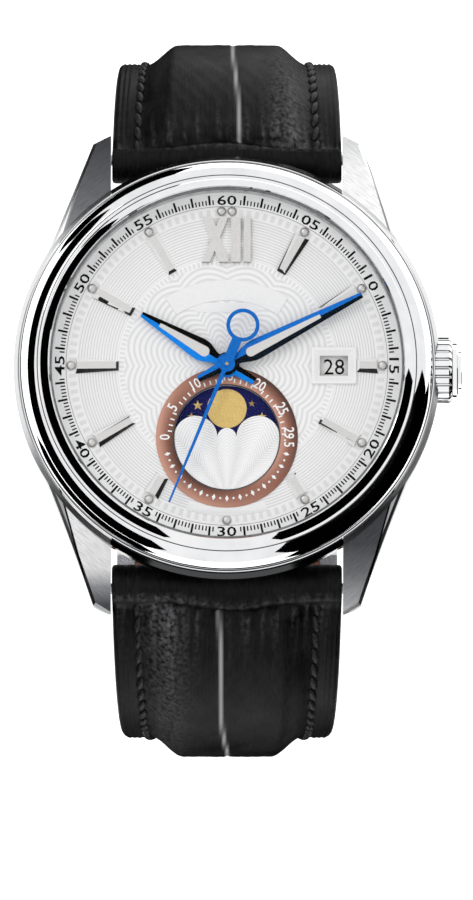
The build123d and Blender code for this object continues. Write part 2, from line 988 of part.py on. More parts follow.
def barrel_bridge():
    """Bridge over the barrel, with a pocket for the ratchet and crown wheels."""
    plan = Circle(bridge_radius) & split_side(False)
    body = bridge_with_feet(plan, barrel_bridge_foot_angles)
    pocket_top = bridge_high - web_thickness
    for place, teeth in ((barrel_place, ratchet_teeth), (crown_wheel_place, crown_wheel_teeth)):
        radius = teeth * winding_module / 2 + winding_module + wheel_pocket_gap
        body -= disc(radius, bridge_low - overrun, pocket_top, place)
    hole = barrel_arbor_radius + barrel_arbor_gap
    body -= disc(hole, pocket_top - overrun, bridge_high + overrun, barrel_place)
    core_low = bridge_low + winding_wheel_rise - pinion_overlap
    body += disc(crown_wheel_core_radius, core_low, pocket_top, crown_wheel_place)
    # the winding pinion reaches down through the web beside the crown wheel
    half_length = winding_pinion_length / 2 + winding_recess_gap
    opening = cross_rod(
        winding_tip_radius + winding_recess_gap,
        winding_pinion_x - half_length,
        winding_pinion_x + half_length,
        0,
        stem_height,
    )
    clutch_x = winding_pinion_x + winding_pinion_length / 2 + clutch_gap
    room = cross_rod(
        clutch_radius + winding_recess_gap,
        clutch_x,
        clutch_x + clutch_length + winding_recess_gap,
        0,
        stem_height,
    )
    return body - opening - room


def train_bridge():
    """Bridge over the going train, open where the balance and its cock sit."""
    bay = Pos(balance_place[0], balance_place[1]) * Circle(cock_bay_radius)
    plan = (Circle(bridge_radius) & split_side(True)) - bay - cock_plan(cock_gap)
    body = bridge_with_feet(plan, train_bridge_foot_angles)
    for place in (centre, third_place, escape_place):
        body -= jewel_hole(bridge_low, bridge_high, place)
    return body


def balance_cock():
    """Cock that carries the balance's outer pivot, with one foot at the rim."""
    foot = polar(cock_foot_reach, balance_angle)
    high = bridge_high - wheel_thickness
    plan = cock_plan(0) & Circle(plate_radius)
    body = extrude(Pos(0, 0, bridge_low) * plan, high - bridge_low)
    body += disc(cock_foot_radius, high - case_fit, plate_low, foot)
    body -= disc(screw_radius, bridge_low - overrun, plate_low + overrun, foot)
    body -= disc(screw_head_radius, bridge_low - overrun, bridge_low + screw_head_height, foot)
    body -= jewel_hole(bridge_low, bridge_high, balance_place)
    return body


def pallet_cock():
    """Small cock under the main plate that carries the pallet lever's outer pivot."""
    middle = pallet_cock_reach / 2
    arm = Pos(pallet_place[0], pallet_place[1]) * Rot(0, 0, escape_line - 90) * Pos(middle, 0)
    plan = arm * Rectangle(pallet_cock_reach, pallet_cock_width)
    plan += Pos(pallet_place[0], pallet_place[1]) * Circle(pallet_cock_width / 2)
    plan += Pos(pallet_foot[0], pallet_foot[1]) * Circle(pallet_foot_radius)
    body = extrude(Pos(0, 0, pallet_cock_low) * plan, pallet_cock_thickness)
    body += disc(pallet_foot_radius, pallet_cock_high - case_fit, plate_low, pallet_foot)
    body -= disc(
        small_jewel_radius, pallet_cock_low - overrun, pallet_cock_high + overrun, pallet_place
    )
    body -= disc(small_screw_radius, pallet_cock_low - overrun, plate_low + overrun, pallet_foot)
    return body - disc(
        small_screw_head_radius,
        pallet_cock_low - overrun,
        pallet_cock_low + screw_head_height,
        pallet_foot,
    )


def main_plate():
    """Main plate with the date ring's seat and rim on its dial side."""
    body = disc(plate_radius, plate_low, plate_high)
    body += ring(plate_radius, date_rim_inner, plate_high - case_fit, plate_high + date_rim_height)
    body += ring(
        date_seat_outer, date_seat_inner, plate_high - case_fit, plate_high + date_seat_height
    )
    body += disc(
        moon_post_radius,
        plate_high - case_fit,
        dial_low - moon_disc_drop + case_fit,
        moon_place,
    )
    body += disc(
        minute_post_radius,
        plate_high - case_fit,
        plate_high + hour_wheel_rise + minute_pinion_thickness,
        motion_place,
    )
    body -= disc(
        centre_arbor_radius + pivot_gap, plate_low - overrun, plate_high + overrun, centre
    )
    for place in (third_place, escape_place, pallet_place, balance_place):
        body -= disc(jewel_radius, plate_low - overrun, plate_low + jewel_thickness, place)
    body -= disc(
        barrel_arbor_radius + barrel_arbor_gap,
        plate_low - overrun,
        plate_low + jewel_thickness,
        barrel_place,
    )
    for place in screw_places():
        body -= disc(screw_radius, plate_low - overrun, plate_low + screw_hole_depth(), place)
    body -= disc(
        small_screw_radius, plate_low - overrun, plate_low + screw_hole_depth(), pallet_foot
    )
    # room for the pinion and the clutch on the stem
    recess = cross_rod(
        winding_tip_radius + winding_recess_gap,
        stem_inner_x - winding_recess_gap,
        winding_pinion_x + winding_pinion_length / 2 + clutch_gap,
        0,
        stem_height,
    )
    recess += cross_rod(
        clutch_radius + winding_recess_gap,
        winding_pinion_x,
        plate_radius + overrun,
        0,
        stem_height,
    )
    return body - recess


def screw_places():
    """Every bridge screw's place."""
    angles = barrel_bridge_foot_angles + train_bridge_foot_angles
    return [polar(foot_reach, angle) for angle in angles] + [
        polar(cock_foot_reach, balance_angle)
    ]


def screw_hole_depth():
    """How far the bridge screws reach into the main plate."""
    return bridge_low + screw_head_height + train_space + screw_length - plate_low


def bridge_screws():
    """Slotted screws that hold the bridges and the cock to the main plate."""
    sizes = [(place, screw_head_radius, screw_radius, bridge_low) for place in screw_places()]
    sizes.append((pallet_foot, small_screw_head_radius, small_screw_radius, pallet_cock_low))
    group = []
    for place, head_radius, shank_radius, head_low in sizes:
        body = disc(head_radius, head_low, head_low + screw_head_height, place)
        body += disc(
            shank_radius,
            head_low + screw_head_height - case_fit,
            plate_low + screw_hole_depth(),
            place,
        )
        slot = Pos(place[0], place[1], head_low + screw_slot_depth / 2 - case_fit) * Box(
            2 * (head_radius + overrun), screw_slot_width, screw_slot_depth + 2 * case_fit
        )
        group.append(body - slot)
    return Compound(children=group)


def jewels():
    """Ring jewels for the pivots, in the bridges and in the main plate."""
    group = []
    hole = pivot_radius + pivot_gap
    for place in (centre, third_place, escape_place):
        group.append(ring(jewel_radius, hole, bridge_high - jewel_thickness, bridge_high, place))
    cock_top = bridge_high - wheel_thickness
    group.append(ring(jewel_radius, hole, cock_top - jewel_thickness, cock_top, balance_place))
    group.append(ring(small_jewel_radius, hole, pallet_cock_low, pallet_cock_high, pallet_place))
    for place in (third_place, escape_place, pallet_place, balance_place):
        group.append(ring(jewel_radius, hole, plate_low, plate_low + jewel_thickness, place))
    return Compound(children=group)


def casing_ring():
    """Ring that centres the movement in the case, with a slot for the stem."""
    low = case_low + back_spigot_length + casing_ring_low_gap
    body = ring(casing_ring_radius, casing_ring_bore, low, dial_low)
    return body - cross_rod(casing_ring_stem_radius, 0, case_radius, 0, stem_height)


# Going train


def barrel():
    """Barrel drum with its toothed rim and a thin cover in one piece."""
    low = bridge_high + barrel_drum_rise
    high = low + barrel_drum_height
    teeth_low = low + barrel_teeth_rise
    face = tooth_face(barrel_teeth, barrel_module) - Circle(barrel_drum_radius - barrel_wall)
    body = wheel(barrel_place, face, teeth_low, teeth_low + barrel_teeth_thickness)
    body += disc(barrel_drum_radius, low, high, barrel_place)
    inner = barrel_drum_radius - barrel_wall
    body -= disc(inner, low + barrel_floor, high - barrel_floor, barrel_place)
    bore = barrel_arbor_radius + barrel_arbor_gap
    return body - disc(bore, low - overrun, high + overrun, barrel_place)


def spiral_face(inner, outer, turns, leaf):
    """A flat spiral ribbon, drawn as one smooth inner and one smooth outer curve."""
    steps = turns * 8
    inside = []
    outside = []
    for step in range(steps + 1):
        share = step / steps
        radius = inner + (outer - inner) * share
        angle = 360 * turns * share
        inside.append(polar(radius, angle))
        outside.append(polar(radius + leaf, angle))
    edges = Spline(*inside) + Line(inside[-1], outside[-1])
    edges += Spline(*reversed(outside)) + Line(outside[0], inside[0])
    return make_face(edges)


def mainspring():
    """Mainspring, coiled inside the barrel."""
    low = bridge_high + barrel_drum_rise + barrel_floor + pinion_overlap
    high = bridge_high + barrel_drum_rise + barrel_drum_height - barrel_floor - pinion_overlap
    face = spiral_face(
        mainspring_inner_radius, mainspring_outer_radius, mainspring_turns, mainspring_leaf
    )
    return wheel(barrel_place, face, low, high)


def ratchet_wheel():
    """Ratchet wheel with the barrel arbor that it turns."""
    low = bridge_low + winding_wheel_rise
    direction = math.degrees(
        math.atan2(
            barrel_place[1] - crown_wheel_place[1], barrel_place[0] - crown_wheel_place[0]
        )
    )
    phase = mesh_phase(direction, crown_wheel_teeth, 0, ratchet_teeth)
    face = tooth_face(ratchet_teeth, winding_module, phase)
    body = wheel(barrel_place, face, low, low + winding_wheel_thickness)
    top = plate_low + jewel_thickness - arbor_end_gap
    return body + disc(barrel_arbor_radius, low, top, barrel_place)


def crown_wheel():
    """Crown wheel, between the winding pinion and the ratchet wheel."""
    low = bridge_low + winding_wheel_rise
    bore = crown_wheel_core_radius + crown_wheel_core_gap
    face = tooth_face(crown_wheel_teeth, winding_module) - Circle(bore)
    return wheel(crown_wheel_place, face, low, low + winding_wheel_thickness)


def winding_pinion():
    """Pinion on the stem that drives the crown wheel."""
    half_pitch = 180 / winding_pinion_teeth
    face = tooth_face(winding_pinion_teeth, winding_module, pinion_gap_angle + half_pitch)
    face -= Circle(stem_square_side / 2 * math.sqrt(2) + stem_bore_gap)
    start = winding_pinion_x - winding_pinion_length / 2
    plane = Plane.YZ.offset(start) * Pos(0, stem_height)
    return extrude(plane * face, winding_pinion_length)


def sliding_clutch():
    """Clutch that turns with the stem's square, grooved for its yoke."""
    start = winding_pinion_x + winding_pinion_length / 2 + clutch_gap
    end = start + clutch_length
    body = cross_rod(clutch_radius, start, end, 0, stem_height)
    middle = (start + end) / 2
    groove = cross_rod(
        clutch_radius + overrun,
        middle - clutch_groove_width / 2,
        middle + clutch_groove_width / 2,
        0,
        stem_height,
    )
    core = cross_rod(
        clutch_groove_radius,
        middle - clutch_groove_width,
        middle + clutch_groove_width,
        0,
        stem_height,
    )
    body -= groove - core
    side = stem_square_side + 2 * square_gap
    hole = Plane.YZ.offset(start - overrun) * Pos(0, stem_height) * Rectangle(side, side)
    return body - extrude(hole, clutch_length + 2 * overrun)


def centre_wheel():
    """Centre wheel and pinion on a hollow arbor that carries the cannon pinion."""
    pinion_low = bridge_high + centre_pinion_rise
    wheel_low = bridge_high + centre_wheel_rise
    phase = mesh_phase(barrel_angle + 180, barrel_teeth, 0, centre_pinion_teeth)
    pinion = tooth_face(centre_pinion_teeth, barrel_module, phase) - Circle(centre_arbor_bore)
    body = wheel(centre, pinion, pinion_low, wheel_low)
    face = armed_face(centre_teeth, centre_module, 0, centre_arbor_bore, 4)
    body += wheel(centre, face, wheel_low, wheel_low + wheel_thickness)
    top = dial_high + minute_hand_rise - pinion_overlap
    body += ring(centre_arbor_radius, centre_arbor_bore, pinion_low, top)
    return body


def third_wheel():
    """Third wheel, its pinion driven by the centre wheel."""
    wheel_low = bridge_high + third_wheel_rise
    pinion_low = bridge_high + centre_wheel_rise - pinion_overlap
    pinion_high = bridge_high + centre_wheel_rise + wheel_thickness + pinion_overlap
    phase = mesh_phase(third_angle, centre_teeth, 0, third_pinion_teeth)
    body = arbor(third_place, bridge_high, plate_low)
    body += wheel(
        third_place,
        tooth_face(third_pinion_teeth, centre_module, phase),
        pinion_low,
        pinion_high,
    )
    face = armed_face(third_teeth, third_module, 0, pivot_radius, 4)
    return body + wheel(third_place, face, wheel_low, wheel_low + wheel_thickness)


def fourth_wheel():
    """Fourth wheel on the centre line, its long arbor carries the seconds hand."""
    wheel_low = bridge_high + fourth_wheel_rise
    pinion_low = bridge_high + third_wheel_rise - pinion_overlap
    pinion_high = bridge_high + third_wheel_rise + wheel_thickness + pinion_overlap
    phase = mesh_phase(third_angle + 180, third_teeth, 0, fourth_pinion_teeth)
    top = dial_high + seconds_hand_rise + seconds_hand_thickness
    body = disc(pivot_radius, bridge_high - pivot_length, bridge_high + fourth_wheel_rise)
    body += disc(seconds_arbor_radius, bridge_high + arbor_end_gap, top)
    body += wheel(
        centre, tooth_face(fourth_pinion_teeth, third_module, phase), pinion_low, pinion_high
    )
    face = armed_face(fourth_teeth, fourth_module, 0, pivot_radius, 5)
    return body + wheel(centre, face, wheel_low, wheel_low + wheel_thickness)


def escape_wheel():
    """Escape wheel with leaning teeth, on its pinion."""
    step = 360 / escape_teeth
    points = []
    for tooth in range(escape_teeth):
        points.append(polar(escape_root_radius, tooth * step))
        points.append(polar(escape_tip_radius, (tooth + escape_lean_share) * step))
        points.append(polar(escape_root_radius, (tooth + 2 * escape_lean_share) * step))
    face = closed_face(points) - (
        Circle(escape_rim_inner)
        - Circle(2 * arbor_radius)
        - Rectangle(2 * escape_tip_radius, arbor_radius)
        - Rectangle(arbor_radius, 2 * escape_tip_radius)
    )
    low = bridge_high + escape_wheel_rise
    phase = mesh_phase(escape_angle, fourth_teeth, 0, escape_pinion_teeth)
    pinion_low = bridge_high + fourth_wheel_rise - pinion_overlap / 2
    pinion_high = bridge_high + fourth_wheel_rise + wheel_thickness + pinion_overlap
    body = arbor(escape_place, bridge_high, plate_low)
    body += wheel(escape_place, face, low, low + wheel_thickness)
    return body + wheel(
        escape_place,
        tooth_face(escape_pinion_teeth, fourth_module, phase),
        pinion_low,
        pinion_high,
    )


def pallet_fork():
    """Pallet lever: two arms with stones at the escape wheel, a fork at the balance."""
    plan = Circle(2 * arbor_radius)
    for side in (1, -1):
        turn = 180 + side * pallet_arm_angle
        end = polar(pallet_arm_length, turn)
        plan += Rot(0, 0, turn) * Pos(pallet_arm_length / 2, 0) * Rectangle(
            pallet_arm_length, pallet_arm_width
        )
        plan += Pos(end[0], end[1]) * Rot(0, 0, side * stone_angle) * Rectangle(
            stone_length, stone_width
        )
    plan += Pos(pallet_lever_length / 2, 0) * Rectangle(pallet_lever_length, pallet_arm_width)
    for side in (1, -1):
        plan += Pos(pallet_lever_length, side * horn_spread) * Rectangle(
            horn_length, pallet_arm_width / 2
        )
    low = bridge_high + escape_wheel_rise
    place = Pos(pallet_place[0], pallet_place[1], low) * Rot(0, 0, escape_line)
    body = extrude(place * plan, pallet_thickness)
    body += disc(
        arbor_radius,
        pallet_cock_high + arbor_end_gap,
        plate_low - arbor_end_gap,
        pallet_place,
    )
    return body + disc(
        pivot_radius,
        pallet_cock_high - pallet_pivot_length,
        plate_low + pallet_pivot_length,
        pallet_place,
    )


def balance_wheel():
    """Balance wheel with its staff and roller."""
    low = bridge_high + balance_rise
    plan = Circle(balance_radius) - Circle(balance_radius - balance_rim_width)
    for spoke in range(balance_spokes):
        plan += Rot(0, 0, spoke * 360 / balance_spokes) * Pos(balance_radius / 2, 0) * Rectangle(
            balance_radius - balance_rim_width, balance_arm_width
        )
    plan += Circle(balance_hub_radius)
    body = wheel(balance_place, plan, low, low + balance_thickness)
    roller_low = bridge_high + roller_rise
    body += disc(roller_radius, roller_low, roller_low + roller_thickness, balance_place)
    cock_top = bridge_high - wheel_thickness
    return body + arbor(balance_place, cock_top, plate_low)


def hairspring():
    """Flat hairspring under the cock, round the balance staff."""
    high = bridge_high + balance_rise - hairspring_gap
    face = spiral_face(
        hairspring_inner_radius, hairspring_outer_radius, hairspring_turns, hairspring_leaf
    )
    return wheel(balance_place, face, high - hairspring_height, high)


# Rotor


def sector_face(inner, outer, start, span):
    """A piece of a flat ring, from one direction over a span of degrees."""
    middle = start + span / 2
    edges = ThreePointArc(
        polar(outer, start), polar(outer, middle), polar(outer, start + span)
    )
    edges += Line(polar(outer, start + span), polar(inner, start + span))
    edges += ThreePointArc(
        polar(inner, start + span), polar(inner, middle), polar(inner, start)
    )
    edges += Line(polar(inner, start), polar(outer, start))
    return make_face(edges)


def rotor():
    """Winding rotor: a half disc with windows and a thick outer rim."""
    bore = bearing_radius + bearing_gap
    start = rotor_rest_angle - rotor_arm_span / 2
    plan = sector_face(bore, rotor_radius, start, rotor_arm_span)
    plan += Circle(rotor_hub_radius) - Circle(bore)
    pitch = rotor_arm_span / rotor_windows
    for window in range(rotor_windows):
        window_start = start + (window + 1 / 2) * pitch - rotor_window_span / 2
        plan -= sector_face(
            rotor_window_inner, rotor_window_outer, window_start, rotor_window_span
        )
    body = extrude(Pos(0, 0, rotor_low) * plan, rotor_plate_thickness)
    rim = sector_face(rotor_rim_inner, rotor_radius, start, rotor_arm_span)
    return body + extrude(Pos(0, 0, rotor_low) * rim, rotor_rim_thickness)


def rotor_bearing():
    """Bearing post that holds the rotor under the train bridge."""
    head_low = rotor_low - bearing_head_thickness
    body = disc(bearing_radius, head_low, bridge_low)
    return body + disc(bearing_head_radius, head_low, rotor_low - bearing_gap)


# Calendar and dial


def date_disc():
    """Date disc: a flat ring with 31 inner teeth."""
    low = plate_high + date_disc_rise
    step = 360 / date_teeth
    points = []
    for tooth in range(date_teeth):
        points.append(polar(date_disc_inner + date_tooth_depth, (tooth - date_tooth_share) * step))
        points.append(polar(date_disc_inner, tooth * step))
        points.append(polar(date_disc_inner + date_tooth_depth, (tooth + date_tooth_share) * step))
    face = Circle(date_disc_outer) - closed_face(points)
    return wheel(centre, face, low, low + date_disc_thickness)


def moon_disc():
    """Moon disc with 59 saw teeth, on its post."""
    high = dial_low - moon_disc_drop
    step = 360 / moon_disc_teeth
    points = []
    for tooth in range(moon_disc_teeth):
        points.append(polar(moon_disc_radius - moon_tooth_depth, tooth * step))
        points.append(polar(moon_disc_radius, (tooth + moon_tooth_share) * step))
    face = closed_face(points) - Circle(moon_post_radius + moon_post_gap)
    return wheel(moon_place, face, high - moon_disc_thickness, high)


def moon_window_face():
    """The aperture: a circle cut off below by two round humps and a small one between."""
    window = Circle(moon_window_radius)
    below = Pos(0, -moon_window_radius) * Rectangle(4 * moon_window_radius, 2 * moon_window_radius)
    face = window - below
    for side in (1, -1):
        face -= Pos(side * mask_hump_spread, 0) * Circle(mask_hump_radius)
    face -= Circle(mask_crest_radius)
    return Pos(moon_place[0], moon_place[1]) * face


def dial():
    """Dial plate with its aperture, date window and centre hole."""
    face = Circle(dial_radius) - moon_window_face()
    face -= Circle(hour_tube_radius + dial_centre_gap)
    face -= Pos(date_window_reach, 0) * Rectangle(date_window_length, date_window_height)
    body = extrude(Pos(0, 0, dial_low) * face, dial_thickness)
    sink = ring(
        moon_ring_radius,
        moon_window_radius,
        dial_high - moon_ring_sink,
        dial_high + overrun,
        moon_place,
    )
    return body - sink


def moon_ring():
    """Raised ring with the days of the moon's age, set into the dial."""
    low = dial_high - moon_ring_sink
    top = dial_high + moon_ring_rise
    edge = dial_high + moon_ring_edge_share * moon_ring_rise
    middle = (moon_window_radius + moon_ring_radius) / 2
    edges = ThreePointArc((moon_window_radius, edge), (middle, top), (moon_ring_radius, edge))
    edges += Polyline(
        (moon_ring_radius, edge),
        (moon_ring_radius, low),
        (moon_window_radius, low),
        (moon_window_radius, edge),
    )
    body = Pos(moon_place[0], moon_place[1], 0) * turned(make_face(edges))
    return body - disc(hour_tube_radius + dial_centre_gap, low - overrun, top + overrun)


def date_frame():
    """Bevelled frame round the date window."""
    place = Pos(date_window_reach, 0, dial_high)
    outer = place * Rectangle(date_frame_length, date_frame_height)
    top = Pos(date_window_reach, 0, dial_high + date_frame_rise) * Rectangle(
        date_frame_bevel_share * date_frame_length, date_frame_bevel_share * date_frame_height
    )
    body = extrude(outer, date_frame_rise)
    hollow = loft(
        [
            place * Rectangle(date_window_length, date_window_height),
            Pos(0, 0, 0) * top,
        ]
    )
    return body - hollow


def baton(inner_reach):
    """One tapered baton that lies along +Y, its top edges bevelled."""
    share = (inner_reach - baton_inner_reach) / (baton_outer_reach - baton_inner_reach)
    inner_width = baton_inner_width + share * (baton_outer_width - baton_inner_width)
    base = (
        (-inner_width / 2, inner_reach),
        (inner_width / 2, inner_reach),
        (baton_outer_width / 2, baton_outer_reach),
        (-baton_outer_width / 2, baton_outer_reach),
    )
    top = (
        (-inner_width / 2 + baton_bevel, inner_reach + baton_bevel),
        (inner_width / 2 - baton_bevel, inner_reach + baton_bevel),
        (baton_outer_width / 2 - baton_bevel, baton_outer_reach - baton_bevel),
        (-baton_outer_width / 2 + baton_bevel, baton_outer_reach - baton_bevel),
    )
    foot_height = dial_high + baton_rise - baton_bevel
    foot = slab(base, dial_high, foot_height)
    bevel = loft(
        [
            Pos(0, 0, foot_height) * closed_face(base),
            Pos(0, 0, dial_high + baton_rise) * closed_face(top),
        ]
    )
    return foot + bevel


def numeral_twelve():
    """The applied XII: crossed strokes and two uprights, each with serifs."""
    height = numeral_height
    middle = numeral_outer_reach - height / 2
    cell = numeral_width / 4
    serif_bar = Rectangle(numeral_serif_length, numeral_serif)
    pieces = []
    cross_centre = -numeral_width / 2 + cell
    lean = math.degrees(math.atan2(2 * cell - numeral_stroke, height))
    cross = Rot(0, 0, lean) * Rectangle(numeral_stroke, height)
    cross += Rot(0, 0, -lean) * Rectangle(numeral_thin_stroke, height)
    for end in (1, -1):
        for side in (1, -1):
            offset = side * (cell - numeral_stroke)
            cross += Pos(offset, end * (height - numeral_serif) / 2) * serif_bar
    cross &= Rectangle(2 * cell, height)
    pieces.append(Pos(cross_centre, middle) * cross)
    for index in numeral_upright_places:
        upright = Rectangle(numeral_stroke, height)
        for end in (1, -1):
            upright += Pos(0, end * (height - numeral_serif) / 2) * Rectangle(
                cell - numeral_serif / 2, numeral_serif
            )
        pieces.append(Pos(-numeral_width / 2 + index * cell, middle) * upright)
    return [extrude(Pos(0, 0, dial_high) * piece, numeral_rise) for piece in pieces]


def hour_markers():
    """All applied batons and the XII."""
    group = []
    for hours, inner_reach in (
        (baton_hours, baton_inner_reach),
        (low_baton_hours, low_baton_inner_reach),
        (short_baton_hours, short_baton_inner_reach),
    ):
        for hour in hours:
            group.append(Rot(0, 0, -hour * 360 / marker_hours) * baton(inner_reach))
    group.extend(numeral_twelve())
    return Compound(children=group)


def hour_dots():
    """Applied dots outside the markers, two side by side at 12."""
    group = []
    for hour in range(1, marker_hours + 1):
        spreads = (0,)
        if hour == date_dot_hour:
            spreads = (twin_dot_spread, -twin_dot_spread)
        for spread in spreads:
            spot = Rot(0, 0, -hour * 360 / marker_hours) * Pos(spread, dot_reach, dial_high)
            group.append(extrude(spot * Circle(dot_radius), dot_rise))
    return Compound(children=group)


# Hands and motion works


def hand_face(length, tail, widths, shoulder, boss, tail_width):
    """A hand along +X: narrow neck, widest at the shoulder, tapered to its tip."""
    width, neck_width, tip_width = widths
    points = [
        (-tail, tail_width / 2),
        (0, neck_width / 2),
        (shoulder, width / 2),
        (length, tip_width / 2),
    ]
    mirrored = [(x, -y) for x, y in reversed(points)]
    return closed_face(points + mirrored) + Circle(boss)


def slot_face(start, end, width, end_width):
    """The tapered slot in a hand, round at its wide end."""
    radius = width / 2
    points = (
        (start + radius, radius),
        (end, end_width / 2),
        (end, -end_width / 2),
        (start + radius, -radius),
    )
    return closed_face(points) + Pos(start + radius, 0) * Circle(radius)


def hand_body(face, angle, rise, thickness):
    """A hand laid at its angle and height."""
    place = Pos(0, 0, dial_high + rise) * Rot(0, 0, angle)
    return extrude(place * face, thickness)


def hour_parts():
    """The hour hand and the insert in its slot."""
    face = hand_face(
        hour_hand_length,
        hour_hand_tail,
        (hour_hand_width, hour_hand_neck_width, hour_hand_tip_width),
        hour_hand_shoulder,
        hour_hand_boss,
        hour_hand_tail_width,
    )
    slot = slot_face(hour_slot_start, hour_slot_end, hour_slot_width, hour_slot_end_width)
    hand = hand_body(
        face - slot - Circle(hour_tube_radius), hour_hand_angle, hour_hand_rise, hand_thickness
    )
    return hand, hand_body(slot, hour_hand_angle, hour_hand_rise, hand_thickness)


def minute_parts():
    """The minute hand and the insert in its slot."""
    face = hand_face(
        minute_hand_length,
        minute_hand_tail,
        (minute_hand_width, minute_hand_neck_width, minute_hand_tip_width),
        minute_hand_shoulder,
        minute_hand_boss,
        minute_hand_tail_width,
    )
    slot = slot_face(
        minute_slot_start, minute_slot_end, minute_slot_width, minute_slot_end_width
    )
    hand = hand_body(
        face - slot - Circle(cannon_radius), minute_hand_angle, minute_hand_rise, hand_thickness
    )
    return hand, hand_body(slot, minute_hand_angle, minute_hand_rise, hand_thickness)


def seconds_hand():
    """Thin seconds hand with an open ring on its tail."""
    needle = closed_face(
        (
            (0, seconds_hand_width / 2),
            (seconds_hand_length, seconds_hand_tip_width / 2),
            (seconds_hand_length, -seconds_hand_tip_width / 2),
            (0, -seconds_hand_width / 2),
        )
    )
    neck_length = seconds_ring_reach - seconds_ring_inner
    neck = Pos(-neck_length / 2, 0) * Rectangle(neck_length, seconds_neck_width)
    eye = Pos(-seconds_ring_reach, 0) * Circle(seconds_ring_outer)
    hole = Pos(-seconds_ring_reach, 0) * Circle(seconds_ring_inner)
    face = needle + neck + Circle(seconds_hub_radius) + eye - hole
    face -= Circle(seconds_arbor_radius)
    body = hand_body(face, seconds_hand_angle, seconds_hand_rise, seconds_hand_thickness)
    low = dial_high + seconds_hand_rise
    return body + ring(
        2 * seconds_arbor_radius, seconds_arbor_radius, low, low + seconds_pin_rise
    )


def cannon_pinion():
    """Cannon pinion, friction fitted on the centre arbor, carries the minute hand."""
    low = plate_high + minute_wheel_rise
    bore = centre_arbor_radius + cannon_bore_gap
    teeth_high = low + wheel_thickness + pinion_overlap
    body = wheel(centre, tooth_face(cannon_teeth, motion_module) - Circle(bore), low, teeth_high)
    top = dial_high + minute_hand_rise + hand_thickness
    return body + ring(cannon_radius - motion_module, bore, low, teeth_high) + ring(
        cannon_radius, bore, teeth_high, top
    )


def minute_wheel():
    """Minute wheel and pinion, the idler between the minute and the hour."""
    low = plate_high + minute_wheel_rise
    bore = minute_post_radius + minute_post_gap
    phase = mesh_phase(motion_angle, cannon_teeth, 0, minute_wheel_teeth)
    face = tooth_face(minute_wheel_teeth, motion_module, phase) - Circle(bore)
    body = wheel(motion_place, face, low, low + wheel_thickness)
    pinion = tooth_face(minute_pinion_teeth, hour_module) - Circle(bore)
    high = plate_high + hour_wheel_rise + wheel_thickness + pinion_overlap
    return body + wheel(motion_place, pinion, low + wheel_thickness, high)


def hour_wheel():
    """Hour wheel, its tube runs on the cannon pinion and carries the hour hand."""
    low = plate_high + hour_wheel_rise
    bore = cannon_radius + hour_tube_gap
    phase = mesh_phase(motion_angle + 180, minute_pinion_teeth, 0, hour_wheel_teeth)
    face = tooth_face(hour_wheel_teeth, hour_module, phase) - Circle(bore)
    body = wheel(centre, face, low, low + wheel_thickness)
    top = dial_high + hour_hand_rise + hand_thickness
    return body + ring(hour_tube_radius, bore, low, top)


# Strap


def corner_radius(layer):
    """The radius that brings a half's middle line down to its flat layer."""
    heading = -90 - side_turn
    after_side = strap_stations(None)[-1]
    return (after_side[1] + layer) / (1 + math.cos(math.radians(heading)))


def strap_stations(last_radius):
    """Stations along one half's middle line: reach, height, heading and length so far."""
    arcs = [(shoulder_radius, -90, shoulder_steps), (side_radius, -90 - side_turn, side_steps)]
    if last_radius is not None:
        arcs.append((last_radius, -180, corner_steps))
    y, z, heading, run = bar_reach, bar_height, -strap_leave_angle, 0.0
    stations = [(y, z, heading, run)]
    for radius, end_heading, steps in arcs:
        turn = (heading - end_heading) / steps
        for _ in range(steps):
            y += radius * math.sin(math.radians(heading))
            z -= radius * math.cos(math.radians(heading))
            heading -= turn
            y -= radius * math.sin(math.radians(heading))
            z += radius * math.cos(math.radians(heading))
            run += radius * math.radians(turn)
            stations.append((y, z, heading, run))
    return stations


def beside(station, offset):
    """The point beside a station, outwards by the offset."""
    y, z, heading, _ = station
    turn = math.radians(heading)
    return y - offset * math.sin(turn), z + offset * math.cos(turn)


def band_face(stations, flat_end, low_offset, high_offset):
    """The side view of a layer of the strap between two offsets from the middle line."""
    low = [beside(station, low_offset(station[3])) for station in stations]
    high = [beside(station, high_offset(station[3])) for station in stations]
    low_flat = (flat_end, low[-1][1])
    high_flat = (flat_end, high[-1][1])
    edges = Line(low[0], high[0]) + Polyline(high[-1], high_flat, low_flat, low[-1])
    for run in (low, high):
        for first, middle, last in zip(run[:-2:2], run[1:-1:2], run[2::2]):
            edges += ThreePointArc(first, middle, last)
    return make_face(edges)


def taper_block(inset):
    """A block that narrows the strap from the case down to the buckle."""
    wide = strap_width_case / 2 - inset
    narrow = strap_width_buckle / 2 - inset
    top = bar_height + strap_case_thickness
    bottom = -loop_depth - strap_case_thickness
    points = (
        (wide, top),
        (wide, bar_height),
        (narrow, -taper_depth),
        (narrow, bottom),
        (-narrow, bottom),
        (-narrow, -taper_depth),
        (-wide, bar_height),
        (-wide, top),
    )
    reach = bar_reach + shoulder_radius
    return extrude(Plane.XZ * closed_face(points), reach, both=True)


